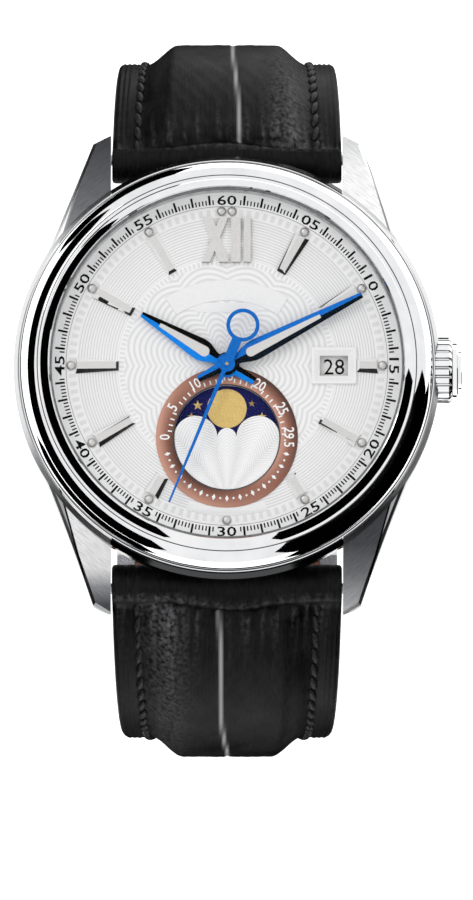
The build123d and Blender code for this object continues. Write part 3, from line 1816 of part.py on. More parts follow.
def strap_layers(layer, end_thickness, flat_end):
    """Outer leather and lining of one half, built on the 12 o'clock side."""
    stations = strap_stations(corner_radius(layer))
    total = stations[-1][3]

    def thickness(run):
        return strap_case_thickness + (end_thickness - strap_case_thickness) * run / total

    def edge_drop(run):
        return edge_drop_case + (edge_drop_end - edge_drop_case) * run / total

    def middle_line(run):
        return 0 * run

    def inner(run):
        return -thickness(run) / 2

    def seam(run):
        return lining_thickness - thickness(run) / 2

    def outer(run):
        return thickness(run) / 2

    def land(run):
        return thickness(run) / 2 - edge_drop(run)

    def below(run):
        return inner(run) - overrun

    def band(path, end, low, high):
        face = band_face(path, end, low, high)
        return extrude(Plane.YZ * face, strap_width_case, both=True)

    half = strap_width_case / 2
    core = band(stations, flat_end, middle_line, outer) & taper_block(edge_land)
    body = (band(stations, flat_end, inner, land) & taper_block(0)) + core
    body += cross_rod(strap_case_thickness / 2, -half, half, bar_reach, bar_height)
    lined = stations[lining_skipped_steps:]
    lining = band(lined, flat_end, inner, seam) & taper_block(0)
    body -= band(lined, flat_end - overrun, below, seam)
    body -= cross_rod(
        bar_tube_radius + strap_bar_gap, -half - overrun, half + overrun, bar_reach, bar_height
    )
    return body, lining


short_layer = loop_depth
tail_layer = loop_depth + short_end_thickness / 2 + layer_gap + tail_thickness / 2
short_path = strap_stations(corner_radius(short_layer))[-1]
tail_path = strap_stations(corner_radius(tail_layer))[-1]
cross_bar_y = short_path[0] - (short_half_length - short_path[3])
cross_bar_z = -short_layer
tail_end_y = tail_path[0] - (long_half_length - tail_path[3])
tail_low = -tail_layer - tail_thickness / 2
tang_turn = math.radians(tang_swing)
neck_reach = (cross_bar_z - tail_low) * math.tan(tang_turn) + tang_neck_half / math.cos(tang_turn)
hole_offset = (neck_reach - tang_neck_half) / 2
hole_length = neck_reach + tang_neck_half + 2 * hole_end_room
base_height = tail_low - keeper_gap - keeper_wall


def short_half():
    """The 12 o'clock half, its end wrapped round the buckle's cross bar."""
    leather, lining = strap_layers(short_layer, short_end_thickness, cross_bar_y)
    half = strap_width_buckle / 2
    leather += cross_rod(strap_eye_radius, -half, half, cross_bar_y, cross_bar_z)
    leather -= lining
    hole = cross_rod(
        cross_bar_radius + strap_bar_gap, -half - overrun, half + overrun, cross_bar_y, cross_bar_z
    )
    notch_half = tang_half_width + tang_notch_extra
    notch_low = cross_bar_y - strap_eye_radius - overrun
    notch_high = cross_bar_y + tang_notch_back
    notch = Pos(0, (notch_low + notch_high) / 2, cross_bar_z) * Box(
        2 * notch_half, notch_high - notch_low, 2 * strap_case_thickness
    )
    return leather - hole - notch, lining - hole - notch


def long_half():
    """The 6 o'clock half, with its pointed end and its row of holes."""
    leather, lining = strap_layers(tail_layer, tail_thickness, tail_end_y)
    half = strap_width_buckle / 2
    # the end is rounded off to a point, seen from below
    start = tail_end_y + tip_taper_length
    bow_x = half * tip_bow_width_share
    bow_y = tail_end_y + tip_taper_length * tip_bow_length_share
    edges = ThreePointArc((half, start), (bow_x, bow_y), (0, tail_end_y))
    edges += ThreePointArc((0, tail_end_y), (-bow_x, bow_y), (-half, start))
    edges += Line((-half, start), (half, start))
    tip = make_face(edges)
    corner = Pos(0, (start + tail_end_y) / 2) * Rectangle(
        2 * half + 2 * overrun, tip_taper_length
    )
    height = tail_thickness + 2 * overrun
    waste = extrude(Pos(0, 0, tail_low - overrun) * (corner - tip), height)
    leather -= waste
    lining -= waste
    leather = half_turn(leather)
    lining = half_turn(lining)
    for step in hole_steps:
        place = Pos(0, cross_bar_y + hole_offset + step * hole_pitch, tail_low - overrun)
        plan = Rot(0, 0, 90) * SlotOverall(hole_length, hole_width)
        hole = extrude(place * plan, height)
        leather -= hole
        lining -= hole
    return leather, lining


def buckle_frame():
    """Buckle frame: two cranked arms with eyes and a flat front bar."""
    front = cross_bar_y - buckle_reach
    bar_top = base_height + keeper_wall
    eye_side = eye_radius * math.sin(math.radians(buckle_crank_angle))
    eye_rise = eye_radius * math.cos(math.radians(buckle_crank_angle))
    slope = (
        (front - buckle_bar_half, base_height),
        (front + 2 * buckle_bar_half, base_height),
        (cross_bar_y + eye_side, cross_bar_z - eye_rise),
        (cross_bar_y - eye_side, cross_bar_z + eye_rise),
        (front + buckle_bar_half, bar_top),
        (front - buckle_bar_half, bar_top),
    )
    outer = buckle_inner_half + buckle_arm_width
    body = side_slab(slope, outer)
    body += cross_rod(eye_radius, -outer, outer, cross_bar_y, cross_bar_z)
    middle = front + buckle_bar_half
    window_end = cross_bar_y + 2 * eye_radius
    window = Pos(0, (middle + window_end) / 2, cross_bar_z) * Box(
        2 * buckle_inner_half, window_end - middle, 4 * strap_case_thickness
    )
    body -= window
    # the front bar's outer face is grooved for the tang's end
    groove = Pos(0, front, base_height) * Box(
        2 * (tang_half_width + tang_notch_extra),
        tang_groove_length,
        2 * (tang_foot_thickness + tang_running_gap),
    )
    body -= groove
    return body - cross_rod(
        cross_bar_radius, -outer - overrun, outer + overrun, cross_bar_y, cross_bar_z
    )


def buckle_bar():
    """Cross bar through the buckle's eyes and the strap's end."""
    outer = buckle_inner_half + buckle_arm_width - case_fit
    return cross_rod(cross_bar_radius, -outer, outer, cross_bar_y, cross_bar_z)


def buckle_tang():
    """Tang: a ring on the cross bar, a neck through the hole and a foot to the front bar."""
    foot_high = base_height + tang_foot_thickness
    reach = cross_bar_y - buckle_reach - tang_tip_extra
    points = (
        (cross_bar_y - tang_neck_half, cross_bar_z),
        (cross_bar_y + tang_neck_half, cross_bar_z),
        (cross_bar_y + tang_neck_half, base_height + tang_running_gap),
        (reach, base_height + tang_running_gap),
        (reach, foot_high),
        (cross_bar_y - tang_neck_half, foot_high + keeper_gap),
    )
    body = side_slab(points, tang_half_width)
    body += cross_rod(
        tang_ring_radius, -tang_half_width, tang_half_width, cross_bar_y, cross_bar_z
    )
    hole = cross_bar_radius + tang_running_gap
    return body - cross_rod(hole, -overrun, overrun, cross_bar_y, cross_bar_z)


def keeper(start):
    """A leather loop round both layers of the strap."""
    inner_high = -short_layer + short_end_thickness / 2 + keeper_gap
    inner_low = tail_low - keeper_gap
    inner_half = strap_width_buckle / 2 + keeper_gap
    middle = (inner_high + inner_low) / 2
    height = inner_high - inner_low
    place = Plane.XZ * Pos(0, middle)
    face = place * (
        RectangleRounded(
            2 * (inner_half + keeper_wall), height + 2 * keeper_wall, keeper_wall
        )
        - Rectangle(2 * inner_half, height)
    )
    return Pos(0, start + keeper_width, 0) * extrude(face, keeper_width)


def spring_bars():
    """Both spring bar tubes, each with a fixed pivot at one end."""
    group = []
    tube_end = lug_gap / 2 - bar_end_gap
    for side in (1, -1):
        y = side * bar_reach
        tube = cross_rod(bar_tube_radius, -tube_end, tube_end, y, bar_height)
        pivot_end = -lug_gap / 2 - bar_pivot_depth
        tube += cross_rod(bar_pivot_radius, pivot_end, -tube_end, y, bar_height)
        bore_start = tube_end - bar_bore_depth
        bore_end = tube_end - bar_lip_length
        mouth = bar_pivot_radius + bar_lip_gap
        tube -= cross_rod(bar_bore_radius, bore_start, bore_end, y, bar_height)
        tube -= cross_rod(mouth, bore_start, tube_end + overrun, y, bar_height)
        group.append(tube)
    return Compound(children=group)


def spring_bar_tip(side):
    """The sprung tip of one spring bar."""
    y = side * bar_reach
    end = lug_gap / 2 + bar_pivot_depth
    start = lug_gap / 2 - bar_end_gap - bar_lip_length
    body = cross_rod(tip_body_radius, start - tip_body_length, start, y, bar_height)
    return body + cross_rod(bar_pivot_radius, start, end, y, bar_height)


# Every node, by the name of its file

hour_hand, hour_insert = hour_parts()
minute_hand, minute_insert = minute_parts()
short_leather, short_lining = short_half()
long_leather, long_lining = long_half()
fixed_keeper_start = cross_bar_y + fixed_keeper_gap
free_keeper_start = fixed_keeper_start + keeper_width + free_keeper_gap
back_crystal = disc(back_crystal_radius - gasket_fit, 0, back_crystal_thickness)

nodes = {
    "mid_case": mid_case(),
    "bezel": bezel(),
    "rehaut_ring": rehaut_ring(),
    "front_crystal": front_crystal(),
    "gaskets": gaskets(),
    "case_back": case_back(),
    "back_crystal": back_crystal,
    "casing_ring": casing_ring(),
    "crown": crown(),
    "crown_tube": crown_tube(),
    "winding_stem": winding_stem(),
    "dial": dial(),
    "hour_markers": hour_markers(),
    "hour_dots": hour_dots(),
    "moon_ring": moon_ring(),
    "moon_disc": moon_disc(),
    "date_frame": date_frame(),
    "date_disc": date_disc(),
    "hour_hand": hour_hand,
    "hour_hand_insert": hour_insert,
    "minute_hand": minute_hand,
    "minute_hand_insert": minute_insert,
    "seconds_hand": seconds_hand(),
    "main_plate": main_plate(),
    "barrel_bridge": barrel_bridge(),
    "train_bridge": train_bridge(),
    "balance_cock": balance_cock(),
    "pallet_cock": pallet_cock(),
    "bridge_screws": bridge_screws(),
    "jewels": jewels(),
    "barrel": barrel(),
    "mainspring": mainspring(),
    "ratchet_wheel": ratchet_wheel(),
    "crown_wheel": crown_wheel(),
    "winding_pinion": winding_pinion(),
    "sliding_clutch": sliding_clutch(),
    "centre_wheel": centre_wheel(),
    "third_wheel": third_wheel(),
    "fourth_wheel": fourth_wheel(),
    "escape_wheel": escape_wheel(),
    "pallet_fork": pallet_fork(),
    "balance_wheel": balance_wheel(),
    "hairspring": hairspring(),
    "cannon_pinion": cannon_pinion(),
    "minute_wheel": minute_wheel(),
    "hour_wheel": hour_wheel(),
    "rotor": rotor(),
    "rotor_bearing": rotor_bearing(),
    "spring_bars": spring_bars(),
    "spring_bar_tip_12": spring_bar_tip(1),
    "spring_bar_tip_6": spring_bar_tip(-1),
    "strap_12_leather": short_leather,
    "strap_12_lining": short_lining,
    "strap_6_leather": long_leather,
    "strap_6_lining": long_lining,
    "buckle_frame": buckle_frame(),
    "buckle_bar": buckle_bar(),
    "buckle_tang": buckle_tang(),
    "fixed_keeper": keeper(fixed_keeper_start),
    "free_keeper": keeper(free_keeper_start),
}

for name, shape in nodes.items():
    export_step(shape, f"parts/{name}.step")
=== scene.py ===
"""Looks of the moon phase watch: a studio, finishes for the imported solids, and fine pieces.

Sizes are in millimetres in this file and become metres when a mesh is made. The dial's middle is
at x = 0, y = 0, 12 o'clock is +Y, the crown is on +X, and the back crystal's outer face is z = 0.
"""

from __future__ import annotations

import logging
import math
from dataclasses import dataclass, field
from enum import Enum
from typing import Any, Sequence

import bmesh
import bpy
import numpy as np
from mathutils import Matrix, Vector

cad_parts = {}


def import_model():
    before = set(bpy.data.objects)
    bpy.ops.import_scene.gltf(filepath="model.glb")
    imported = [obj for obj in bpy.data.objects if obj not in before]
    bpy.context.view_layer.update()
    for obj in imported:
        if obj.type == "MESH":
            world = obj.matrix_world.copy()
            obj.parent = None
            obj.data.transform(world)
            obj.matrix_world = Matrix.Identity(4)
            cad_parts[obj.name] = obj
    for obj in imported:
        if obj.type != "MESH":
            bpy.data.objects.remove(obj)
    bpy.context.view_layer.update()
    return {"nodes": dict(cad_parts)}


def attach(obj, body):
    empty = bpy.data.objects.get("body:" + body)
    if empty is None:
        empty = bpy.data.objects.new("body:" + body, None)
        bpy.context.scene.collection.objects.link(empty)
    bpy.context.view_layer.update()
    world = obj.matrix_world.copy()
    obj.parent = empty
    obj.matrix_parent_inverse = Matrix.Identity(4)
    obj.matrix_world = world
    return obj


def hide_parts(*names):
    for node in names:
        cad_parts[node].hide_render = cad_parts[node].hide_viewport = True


log = logging.getLogger("watch")

MM = 0.001
IMAGE_HEIGHT = 900
TURN = 2 * math.pi
# a Mix node's settings for colours: its share is input 0, and its colours are inputs 6 and 7
COLOUR_MIX: dict[str, Any] = {"data_type": "RGBA", "out": 2}


# ---------------------------------------------------------------- shapes


@dataclass
class Shape:
    """Points in millimetres and the faces between them, kept as arrays of equal sided faces.

    Args:
        points: one row of x, y, z for each point.
        faces: arrays of point numbers, one array for each number of corners.
        uv: one row of u, v for each point, where the piece has its own map.
        marks: named values, one for each point, that a finish reads.
    """

    points: np.ndarray
    faces: list[np.ndarray]
    uv: np.ndarray | None = None
    marks: dict[str, np.ndarray] = field(default_factory=dict)

    def turned(self, angle: float) -> "Shape":
        """The shape turned about the Z axis by an angle in degrees.

        Args:
            angle: the angle, from +X towards +Y.

        Returns:
            The turned shape.
        """
        turn = math.radians(angle)
        spin = np.array(
            [[math.cos(turn), math.sin(turn), 0], [-math.sin(turn), math.cos(turn), 0], [0, 0, 1]]
        )
        return Shape(self.points @ spin, self.faces, self.uv, self.marks)

    def moved(self, x: float, y: float, z: float = 0.0) -> "Shape":
        """The shape moved by x, y and z."""
        return Shape(self.points + np.array([x, y, z]), self.faces, self.uv, self.marks)


def joined(shapes: Sequence[Shape]) -> Shape:
    """Several shapes as one.

    Args:
        shapes: the shapes, each without a map or marks of its own.

    Returns:
        One shape with all their points and faces.
    """
    starts = np.cumsum([0] + [len(shape.points) for shape in shapes[:-1]])
    faces = [face + start for shape, start in zip(shapes, starts) for face in shape.faces]
    return Shape(np.concatenate([shape.points for shape in shapes]), faces)


def grid(points: np.ndarray, around: bool = False, along: bool = False) -> Shape:
    """Quads between the neighbours of a table of points.

    Args:
        points: rows by columns by x, y, z.
        around: whether the last column joins the first.
        along: whether the last row joins the first.

    Returns:
        The surface, with its points in row order.
    """
    rows, columns = points.shape[:2]
    row, column = np.meshgrid(
        np.arange(rows if along else rows - 1), np.arange(columns if around else columns - 1),
        indexing="ij",
    )
    here, ahead = row * columns, (row + 1) % rows * columns
    after = (column + 1) % columns
    corners = (here + column, here + after, ahead + after, ahead + column)
    return Shape(points.reshape(-1, 3), [np.stack(corners, axis=-1).reshape(-1, 4)])


def closed_tube(points: np.ndarray) -> Shape:
    """A surface whose columns go all round, with both end rows closed by one face each.

    Args:
        points: rows by columns by x, y, z, where a row is one loop.

    Returns:
        The closed surface.
    """
    rows, columns = points.shape[:2]
    shape = grid(points, around=True)
    first = np.arange(columns)[None, :]
    shape.faces += [first, first + (rows - 1) * columns]
    return shape


def spread(*parts: Any) -> np.ndarray:
    """Parts side by side on a last axis, each repeated to fill the shape that they share."""
    return np.stack(np.broadcast_arrays(*parts), axis=-1)


def rays(angle: np.ndarray) -> np.ndarray:
    """The cosine and sine of angles in radians, on a last axis."""
    return spread(np.cos(angle), np.sin(angle))


def round_steps(count: int) -> np.ndarray:
    """Even steps round a circle, in radians."""
    return np.arange(count) * TURN / count


def rectangle(left: float, right: float, low: float, high: float) -> np.ndarray:
    """The corners of a rectangle, one row for each, from the lower left one on."""
    return np.array([(left, low), (right, low), (right, high), (left, high)])


def raised(flat: np.ndarray, height: Any) -> np.ndarray:
    """Places of x and y with a height, one for all or one for each."""
    return spread(flat[..., 0], flat[..., 1], height)


def stacked(loops: Sequence[tuple[np.ndarray, float]]) -> Shape:
    """A closed surface through flat loops of as many points, each with its height."""
    return closed_tube(np.stack([raised(loop, height) for loop, height in loops]))


def arc(radius: float, offset: np.ndarray) -> np.ndarray:
    """A circle's height at an offset from its middle: sqrt(radius^2 - offset^2), or 0 outside."""
    return np.sqrt(np.maximum(radius**2 - offset**2, 0.0))


def turned_profile(profile: np.ndarray, steps: int = 180) -> Shape:
    """A closed profile of radius and height turned about the Z axis.

    Args:
        profile: a loop of rows of radius and height.
        steps: faces round the circle.

    Returns:
        The ring: each point is (radius cos a, radius sin a, height).
    """
    flat = rays(round_steps(steps))[:, None, :] * profile[:, :1]
    return grid(raised(flat, profile[:, 1]), around=True, along=True)


def slab(outline: np.ndarray, low: float, high: float, bevel: float = 0.0) -> Shape:
    """A flat plate over an outline, with an optional sloped rim at its top.

    Args:
        outline: rows of x and y in order round the plate.
        low: height of its underside.
        high: height of its top.
        bevel: how far the top's rim slopes in, as a share of the way to the middle.

    Returns:
        The closed plate.
    """
    loops = [(outline, low), (outline, high)]
    if bevel:
        middle = outline.mean(axis=0)
        inner = middle + (outline - middle) * (1 - bevel)
        loops[1:] = [(outline, high - (high - low) / 2), (inner, high)]
    return stacked(loops)


def bars(radius: Any, angle: np.ndarray, length: Any, width: Any, low: float, high: float) -> Shape:
    """Small flat bars set round a circle, each pointing outwards.

    Args:
        radius: radius of the bars' middles, one for all or one for each.
        angle: angle of each bar in radians.
        length: radial length, one for all or one for each.
        width: width across the radius, one for all or one for each.
        low: height of the undersides.
        high: height of the tops.

    Returns:
        All bars as one shape: a corner is middle + out * length / 2 + side * width / 2.
    """
    out = rays(angle)[:, None, :]
    side = out[..., ::-1] * np.array([-1.0, 1.0])
    reach = np.array([-0.5, 0.5, 0.5, -0.5])
    across = np.array([-0.5, -0.5, 0.5, 0.5])
    radius, length, width = (
        np.broadcast_to(size, angle.shape)[:, None] for size in (radius, length, width)
    )
    corners = out * (radius + length * reach)[..., None] + side * (width * across)[..., None]
    points = np.concatenate((raised(corners, low), raised(corners, high)), axis=1)
    box = np.array(
        [[3, 2, 1, 0], [4, 5, 6, 7], [0, 1, 5, 4], [1, 2, 6, 5], [2, 3, 7, 6], [3, 0, 4, 7]]
    )
    faces = np.arange(len(angle))[:, None, None] * 8 + box
    return Shape(points.reshape(-1, 3), [faces.reshape(-1, 4)])


def placed(name: str, data: bpy.types.ID) -> bpy.types.Object:
    """A new object of the scene that holds the data.

    Args:
        name: the object's name.
        data: its mesh, curve, lamp or camera.

    Returns:
        The object.
    """
    made = bpy.data.objects.new(name, data)
    bpy.context.scene.collection.objects.link(made)
    return made


def plain_mesh(name: str, shape: Shape) -> bpy.types.Mesh:
    """A mesh of a shape, without its map and marks.

    Args:
        name: the mesh's name.
        shape: the shape.

    Returns:
        The mesh, in metres.
    """
    mesh = bpy.data.meshes.new(name)
    faces = [corners for face in shape.faces for corners in face.tolist()]
    mesh.from_pydata((shape.points * MM).tolist(), [], faces)
    return mesh


def evaluated_mesh(made: bpy.types.Object) -> bpy.types.Mesh:
    """A new mesh of an object as it shows, with its modifiers.

    Args:
        made: the object.

    Returns:
        The mesh.
    """
    bpy.context.view_layer.update()
    shown = made.evaluated_get(bpy.context.evaluated_depsgraph_get())
    return bpy.data.meshes.new_from_object(shown)


def face_out(mesh: bpy.types.Mesh) -> None:
    """Merges the points that meet and turns all faces outwards.

    Args:
        mesh: the mesh, which is changed.
    """
    work = bmesh.new()
    work.from_mesh(mesh)
    bmesh.ops.remove_doubles(work, verts=work.verts, dist=1e-7)
    bmesh.ops.recalc_face_normals(work, faces=work.faces)
    work.to_mesh(mesh)
    work.free()


def lettering(
    words: str, height: float, stretch: float, thickness: float, weight: float = 0.0
) -> Shape:
    """Plain numerals as a thin solid, centred on the origin.

    Args:
        words: the numerals.
        height: their height.
        stretch: their width as a share of the font's own.
        thickness: how thick they stand, from z = 0 up.
        weight: how far their strokes are swelled, as a share of the font's size.

    Returns:
        The numerals as triangles.
    """
    curve = bpy.data.curves.new("numerals", "FONT")
    curve.body = words
    curve.extrude = 0.05
    curve.offset = weight
    curve.resolution_u = 2
    holder = placed("numerals", curve)
    mesh = evaluated_mesh(holder)
    points = np.zeros((len(mesh.vertices), 3))
    mesh.vertices.foreach_get("co", points.ravel())
    mesh.calc_loop_triangles()
    faces = np.zeros((len(mesh.loop_triangles), 3), dtype=np.int32)
    mesh.loop_triangles.foreach_get("vertices", faces.ravel())
    bpy.data.objects.remove(holder)
    bpy.data.curves.remove(curve)
    bpy.data.meshes.remove(mesh)
    low, high = points.min(axis=0), points.max(axis=0)
    size = height / (high[1] - low[1])
    scale = np.array([size * stretch, size, thickness / (high[2] - low[2])])
    foot = np.append((low[:2] + high[:2]) / 2, low[2])
    return Shape((points - foot) * scale, [faces])


def piece(
    name: str,
    shape: Shape,
    finish: bpy.types.Material,
    body: str,
    replaces: Sequence[str] = (),
    crease: float = 35.0,
) -> bpy.types.Object:
    """Makes a shape an object of the part.

    Args:
        name: the piece's name.
        shape: its shape.
        finish: its material.
        body: the body that it rides on.
        replaces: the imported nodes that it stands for.
        crease: the angle in degrees past which an edge stays sharp.

    Returns:
        The object, at the origin, with its place in its mesh.
    """
    mesh = bpy.data.meshes.new(name)
    loops = np.concatenate([face.ravel() for face in shape.faces]).astype(np.int32)
    sizes = np.concatenate([np.full(len(face), face.shape[1]) for face in shape.faces])
    starts = np.concatenate(([0], np.cumsum(sizes)[:-1])).astype(np.int32)
    mesh.vertices.add(len(shape.points))
    mesh.vertices.foreach_set("co", (shape.points * MM).astype(np.float32).ravel())
    mesh.loops.add(len(loops))
    mesh.loops.foreach_set("vertex_index", loops)
    mesh.polygons.add(len(sizes))
    mesh.polygons.foreach_set("loop_start", starts)
    mesh.update(calc_edges=True)
    mesh.validate()
    if shape.uv is not None:
        layer = mesh.uv_layers.new(name="surface")
        layer.uv.foreach_set("vector", shape.uv[loops].astype(np.float32).ravel())
    for mark, values in shape.marks.items():
        attribute = mesh.attributes.new(mark, "FLOAT", "POINT")
        attribute.data.foreach_set("value", values.astype(np.float32))
    face_out(mesh)
    mesh.polygons.foreach_set("use_smooth", np.ones(len(mesh.polygons), dtype=bool))
    mesh.set_sharp_from_angle(angle=math.radians(crease))
    mesh.materials.append(finish)
    made = placed(name, mesh)
    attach(made, body)
    if replaces:
        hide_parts(*replaces)
    log.info("%s: %d faces on %s", name, len(mesh.polygons), body)
    return made


# ---------------------------------------------------------------- finishes


def linear(colour: str) -> tuple[float, float, float, float]:
    """An sRGB hex colour as linear red, green and blue, with an alpha of 1.

    Args:
        colour: the colour, as # and six digits.

    Returns:
        Red, green, blue and alpha.
    """
    parts = [int(colour[place : place + 2], 16) / 255 for place in (1, 3, 5)]
    red, green, blue = (
        part / 12.92 if part <= 0.04045 else ((part + 0.055) / 1.055) ** 2.4 for part in parts
    )
    return red, green, blue, 1.0


def add_node(
    tree: bpy.types.NodeTree,
    kind: str,
    *inputs: Any,
    named: dict[int | str, Any] | None = None,
    stops: Sequence[tuple[float, str]] = (),
    out: int | str | None = 0,
    **settings: Any,
) -> Any:
    """Adds a node with its settings and links.

    Args:
        tree: the tree it goes in.
        kind: the node's type name after ShaderNode.
        inputs: for each input in order a socket to link, a value, or None to leave it.
        named: the same for inputs by name or number.
        stops: places and hex colours of a colour ramp.
        out: name or number of the wanted output, or None for all of them.
        settings: the node's own settings.

    Returns:
        The wanted output, or all outputs, which are none on a node that ends a tree.
    """
    node = tree.nodes.new(f"ShaderNode{kind}")
    for setting, value in settings.items():
        setattr(node, setting, value)
    wanted = list(zip(node.inputs, inputs))
    wanted += [(node.inputs[key], value) for key, value in (named or {}).items()]
    for socket, value in wanted:
        if isinstance(value, bpy.types.NodeSocket):
            tree.links.new(value, socket)
        elif value is not None:
            socket.default_value = value
    if stops:
        elements = node.color_ramp.elements
        while len(elements) < len(stops):
            elements.new(0.5)
        for element, (place, colour) in zip(elements, stops):
            element.position = place
            element.color = linear(colour)
    return node.outputs if out is None or not node.outputs else node.outputs[out]


def new_tree(name: str) -> tuple[bpy.types.Material, bpy.types.NodeTree]:
    """An empty material and its node tree.

    Args:
        name: the material's name.

    Returns:
        Both, with no node in the tree.
    """
    material = bpy.data.materials.new(name)
    material.use_nodes = True
    material.node_tree.nodes.clear()
    return material, material.node_tree


def millimetres(tree: bpy.types.NodeTree) -> bpy.types.NodeSocket:
    """The place on the object in millimetres, from Object coordinates."""
    place = add_node(tree, "TexCoord", out="Object")
    return add_node(tree, "VectorMath", place, (1 / MM, 1 / MM, 1 / MM), operation="MULTIPLY")


def from_axis(tree: bpy.types.NodeTree, place: bpy.types.NodeSocket) -> bpy.types.NodeSocket:
    """The distance of a place from the watch's own axis."""
    flat = add_node(tree, "VectorMath", place, (1.0, 1.0, 0.0), operation="MULTIPLY")
    return add_node(tree, "VectorMath", flat, operation="LENGTH", out="Value")


def close(
    tree: bpy.types.NodeTree,
    colour: Any,
    metallic: Any,
    rough: Any,
    height: bpy.types.NodeSocket | None = None,
    depth: float = 0.0,
    others: dict[str, float] | None = None,
) -> None:
    """Ends a tree in a Principled shader with a bump.

    Args:
        tree: the material's tree.
        colour: the shader's base colour.
        metallic: how far it is metal.
        rough: its roughness.
        height: the bump's height from 0 to 1, or None for a smooth surface.
        depth: the height in millimetres of a full bump.
        others: the shader's other inputs by name.
    """
    named = {"Base Color": colour, "Metallic": metallic, "Roughness": rough, **(others or {})}
    if height is not None:
        bump = {"Strength": 1.0, "Distance": depth * MM, "Height": height}
        named["Normal"] = add_node(tree, "Bump", named=bump)
    add_node(tree, "OutputMaterial", add_node(tree, "BsdfPrincipled", named=named))


class Grain(Enum):
    """How a metal's surface was worked."""

    POLISHED = "polished"
    TURNED = "turned"
    STRAIGHT = "straight"
    BLASTED = "blasted"
    STRIPED = "striped"


@dataclass(frozen=True)
class Metal:
    """A metal with its working marks.

    Args:
        name: the finish's name.
        light: colour on the marks' crests.
        dark: colour in the marks.
        roughness: of the metal between marks.
        grain: how the surface was worked.
        pitch: spacing of the marks in millimetres.
        depth: depth of the marks in millimetres.
    """

    name: str
    light: str
    dark: str
    roughness: float
    grain: Grain
    pitch: float = 0.2
    depth: float = 0.004

    def material(self) -> bpy.types.Material:
        """Builds the finish: the marks change colour, roughness and height together.

        Returns:
            The material.
        """
        material, tree = new_tree(self.name)
        tone = self.marks(tree, millimetres(tree))
        colour = add_node(tree, "ValToRGB", tone, stops=((0.25, self.dark), (0.75, self.light)))
        dull, bright = self.roughness * 1.35, self.roughness * 0.65
        rough = add_node(tree, "MapRange", tone, 0.0, 1.0, dull, bright)
        close(tree, colour, 1.0, rough, None if self.grain is Grain.POLISHED else tone, self.depth)
        return material

    def marks(self, tree: bpy.types.NodeTree, place: bpy.types.NodeSocket) -> bpy.types.NodeSocket:
        """The pattern of the working marks.

        Args:
            tree: the material's tree.
            place: the place in millimetres.

        Returns:
            A tone from 0 in a mark to 1 on a crest.
        """
        scale, detail = 1 / self.pitch, 2.0
        if self.grain is Grain.STRIPED:
            return add_node(
                tree, "TexWave",
                named={"Vector": place, "Scale": scale / 20, "Distortion": 0.0},
                wave_type="BANDS", bands_direction="DIAGONAL", wave_profile="SAW",
            )
        if self.grain is Grain.STRAIGHT:
            stretch = (scale, scale * 0.03, scale * 0.5)
            place = add_node(tree, "VectorMath", place, stretch, operation="MULTIPLY")
            scale, detail = 1.0, 3.0
        elif self.grain is Grain.TURNED:
            height = add_node(tree, "SeparateXYZ", place, out="Z")
            place = add_node(tree, "CombineXYZ", from_axis(tree, place), height, 0.0)
        elif self.grain is Grain.BLASTED:
            detail = 1.0
        return add_node(tree, "TexNoise", named={"Vector": place, "Scale": scale, "Detail": detail})


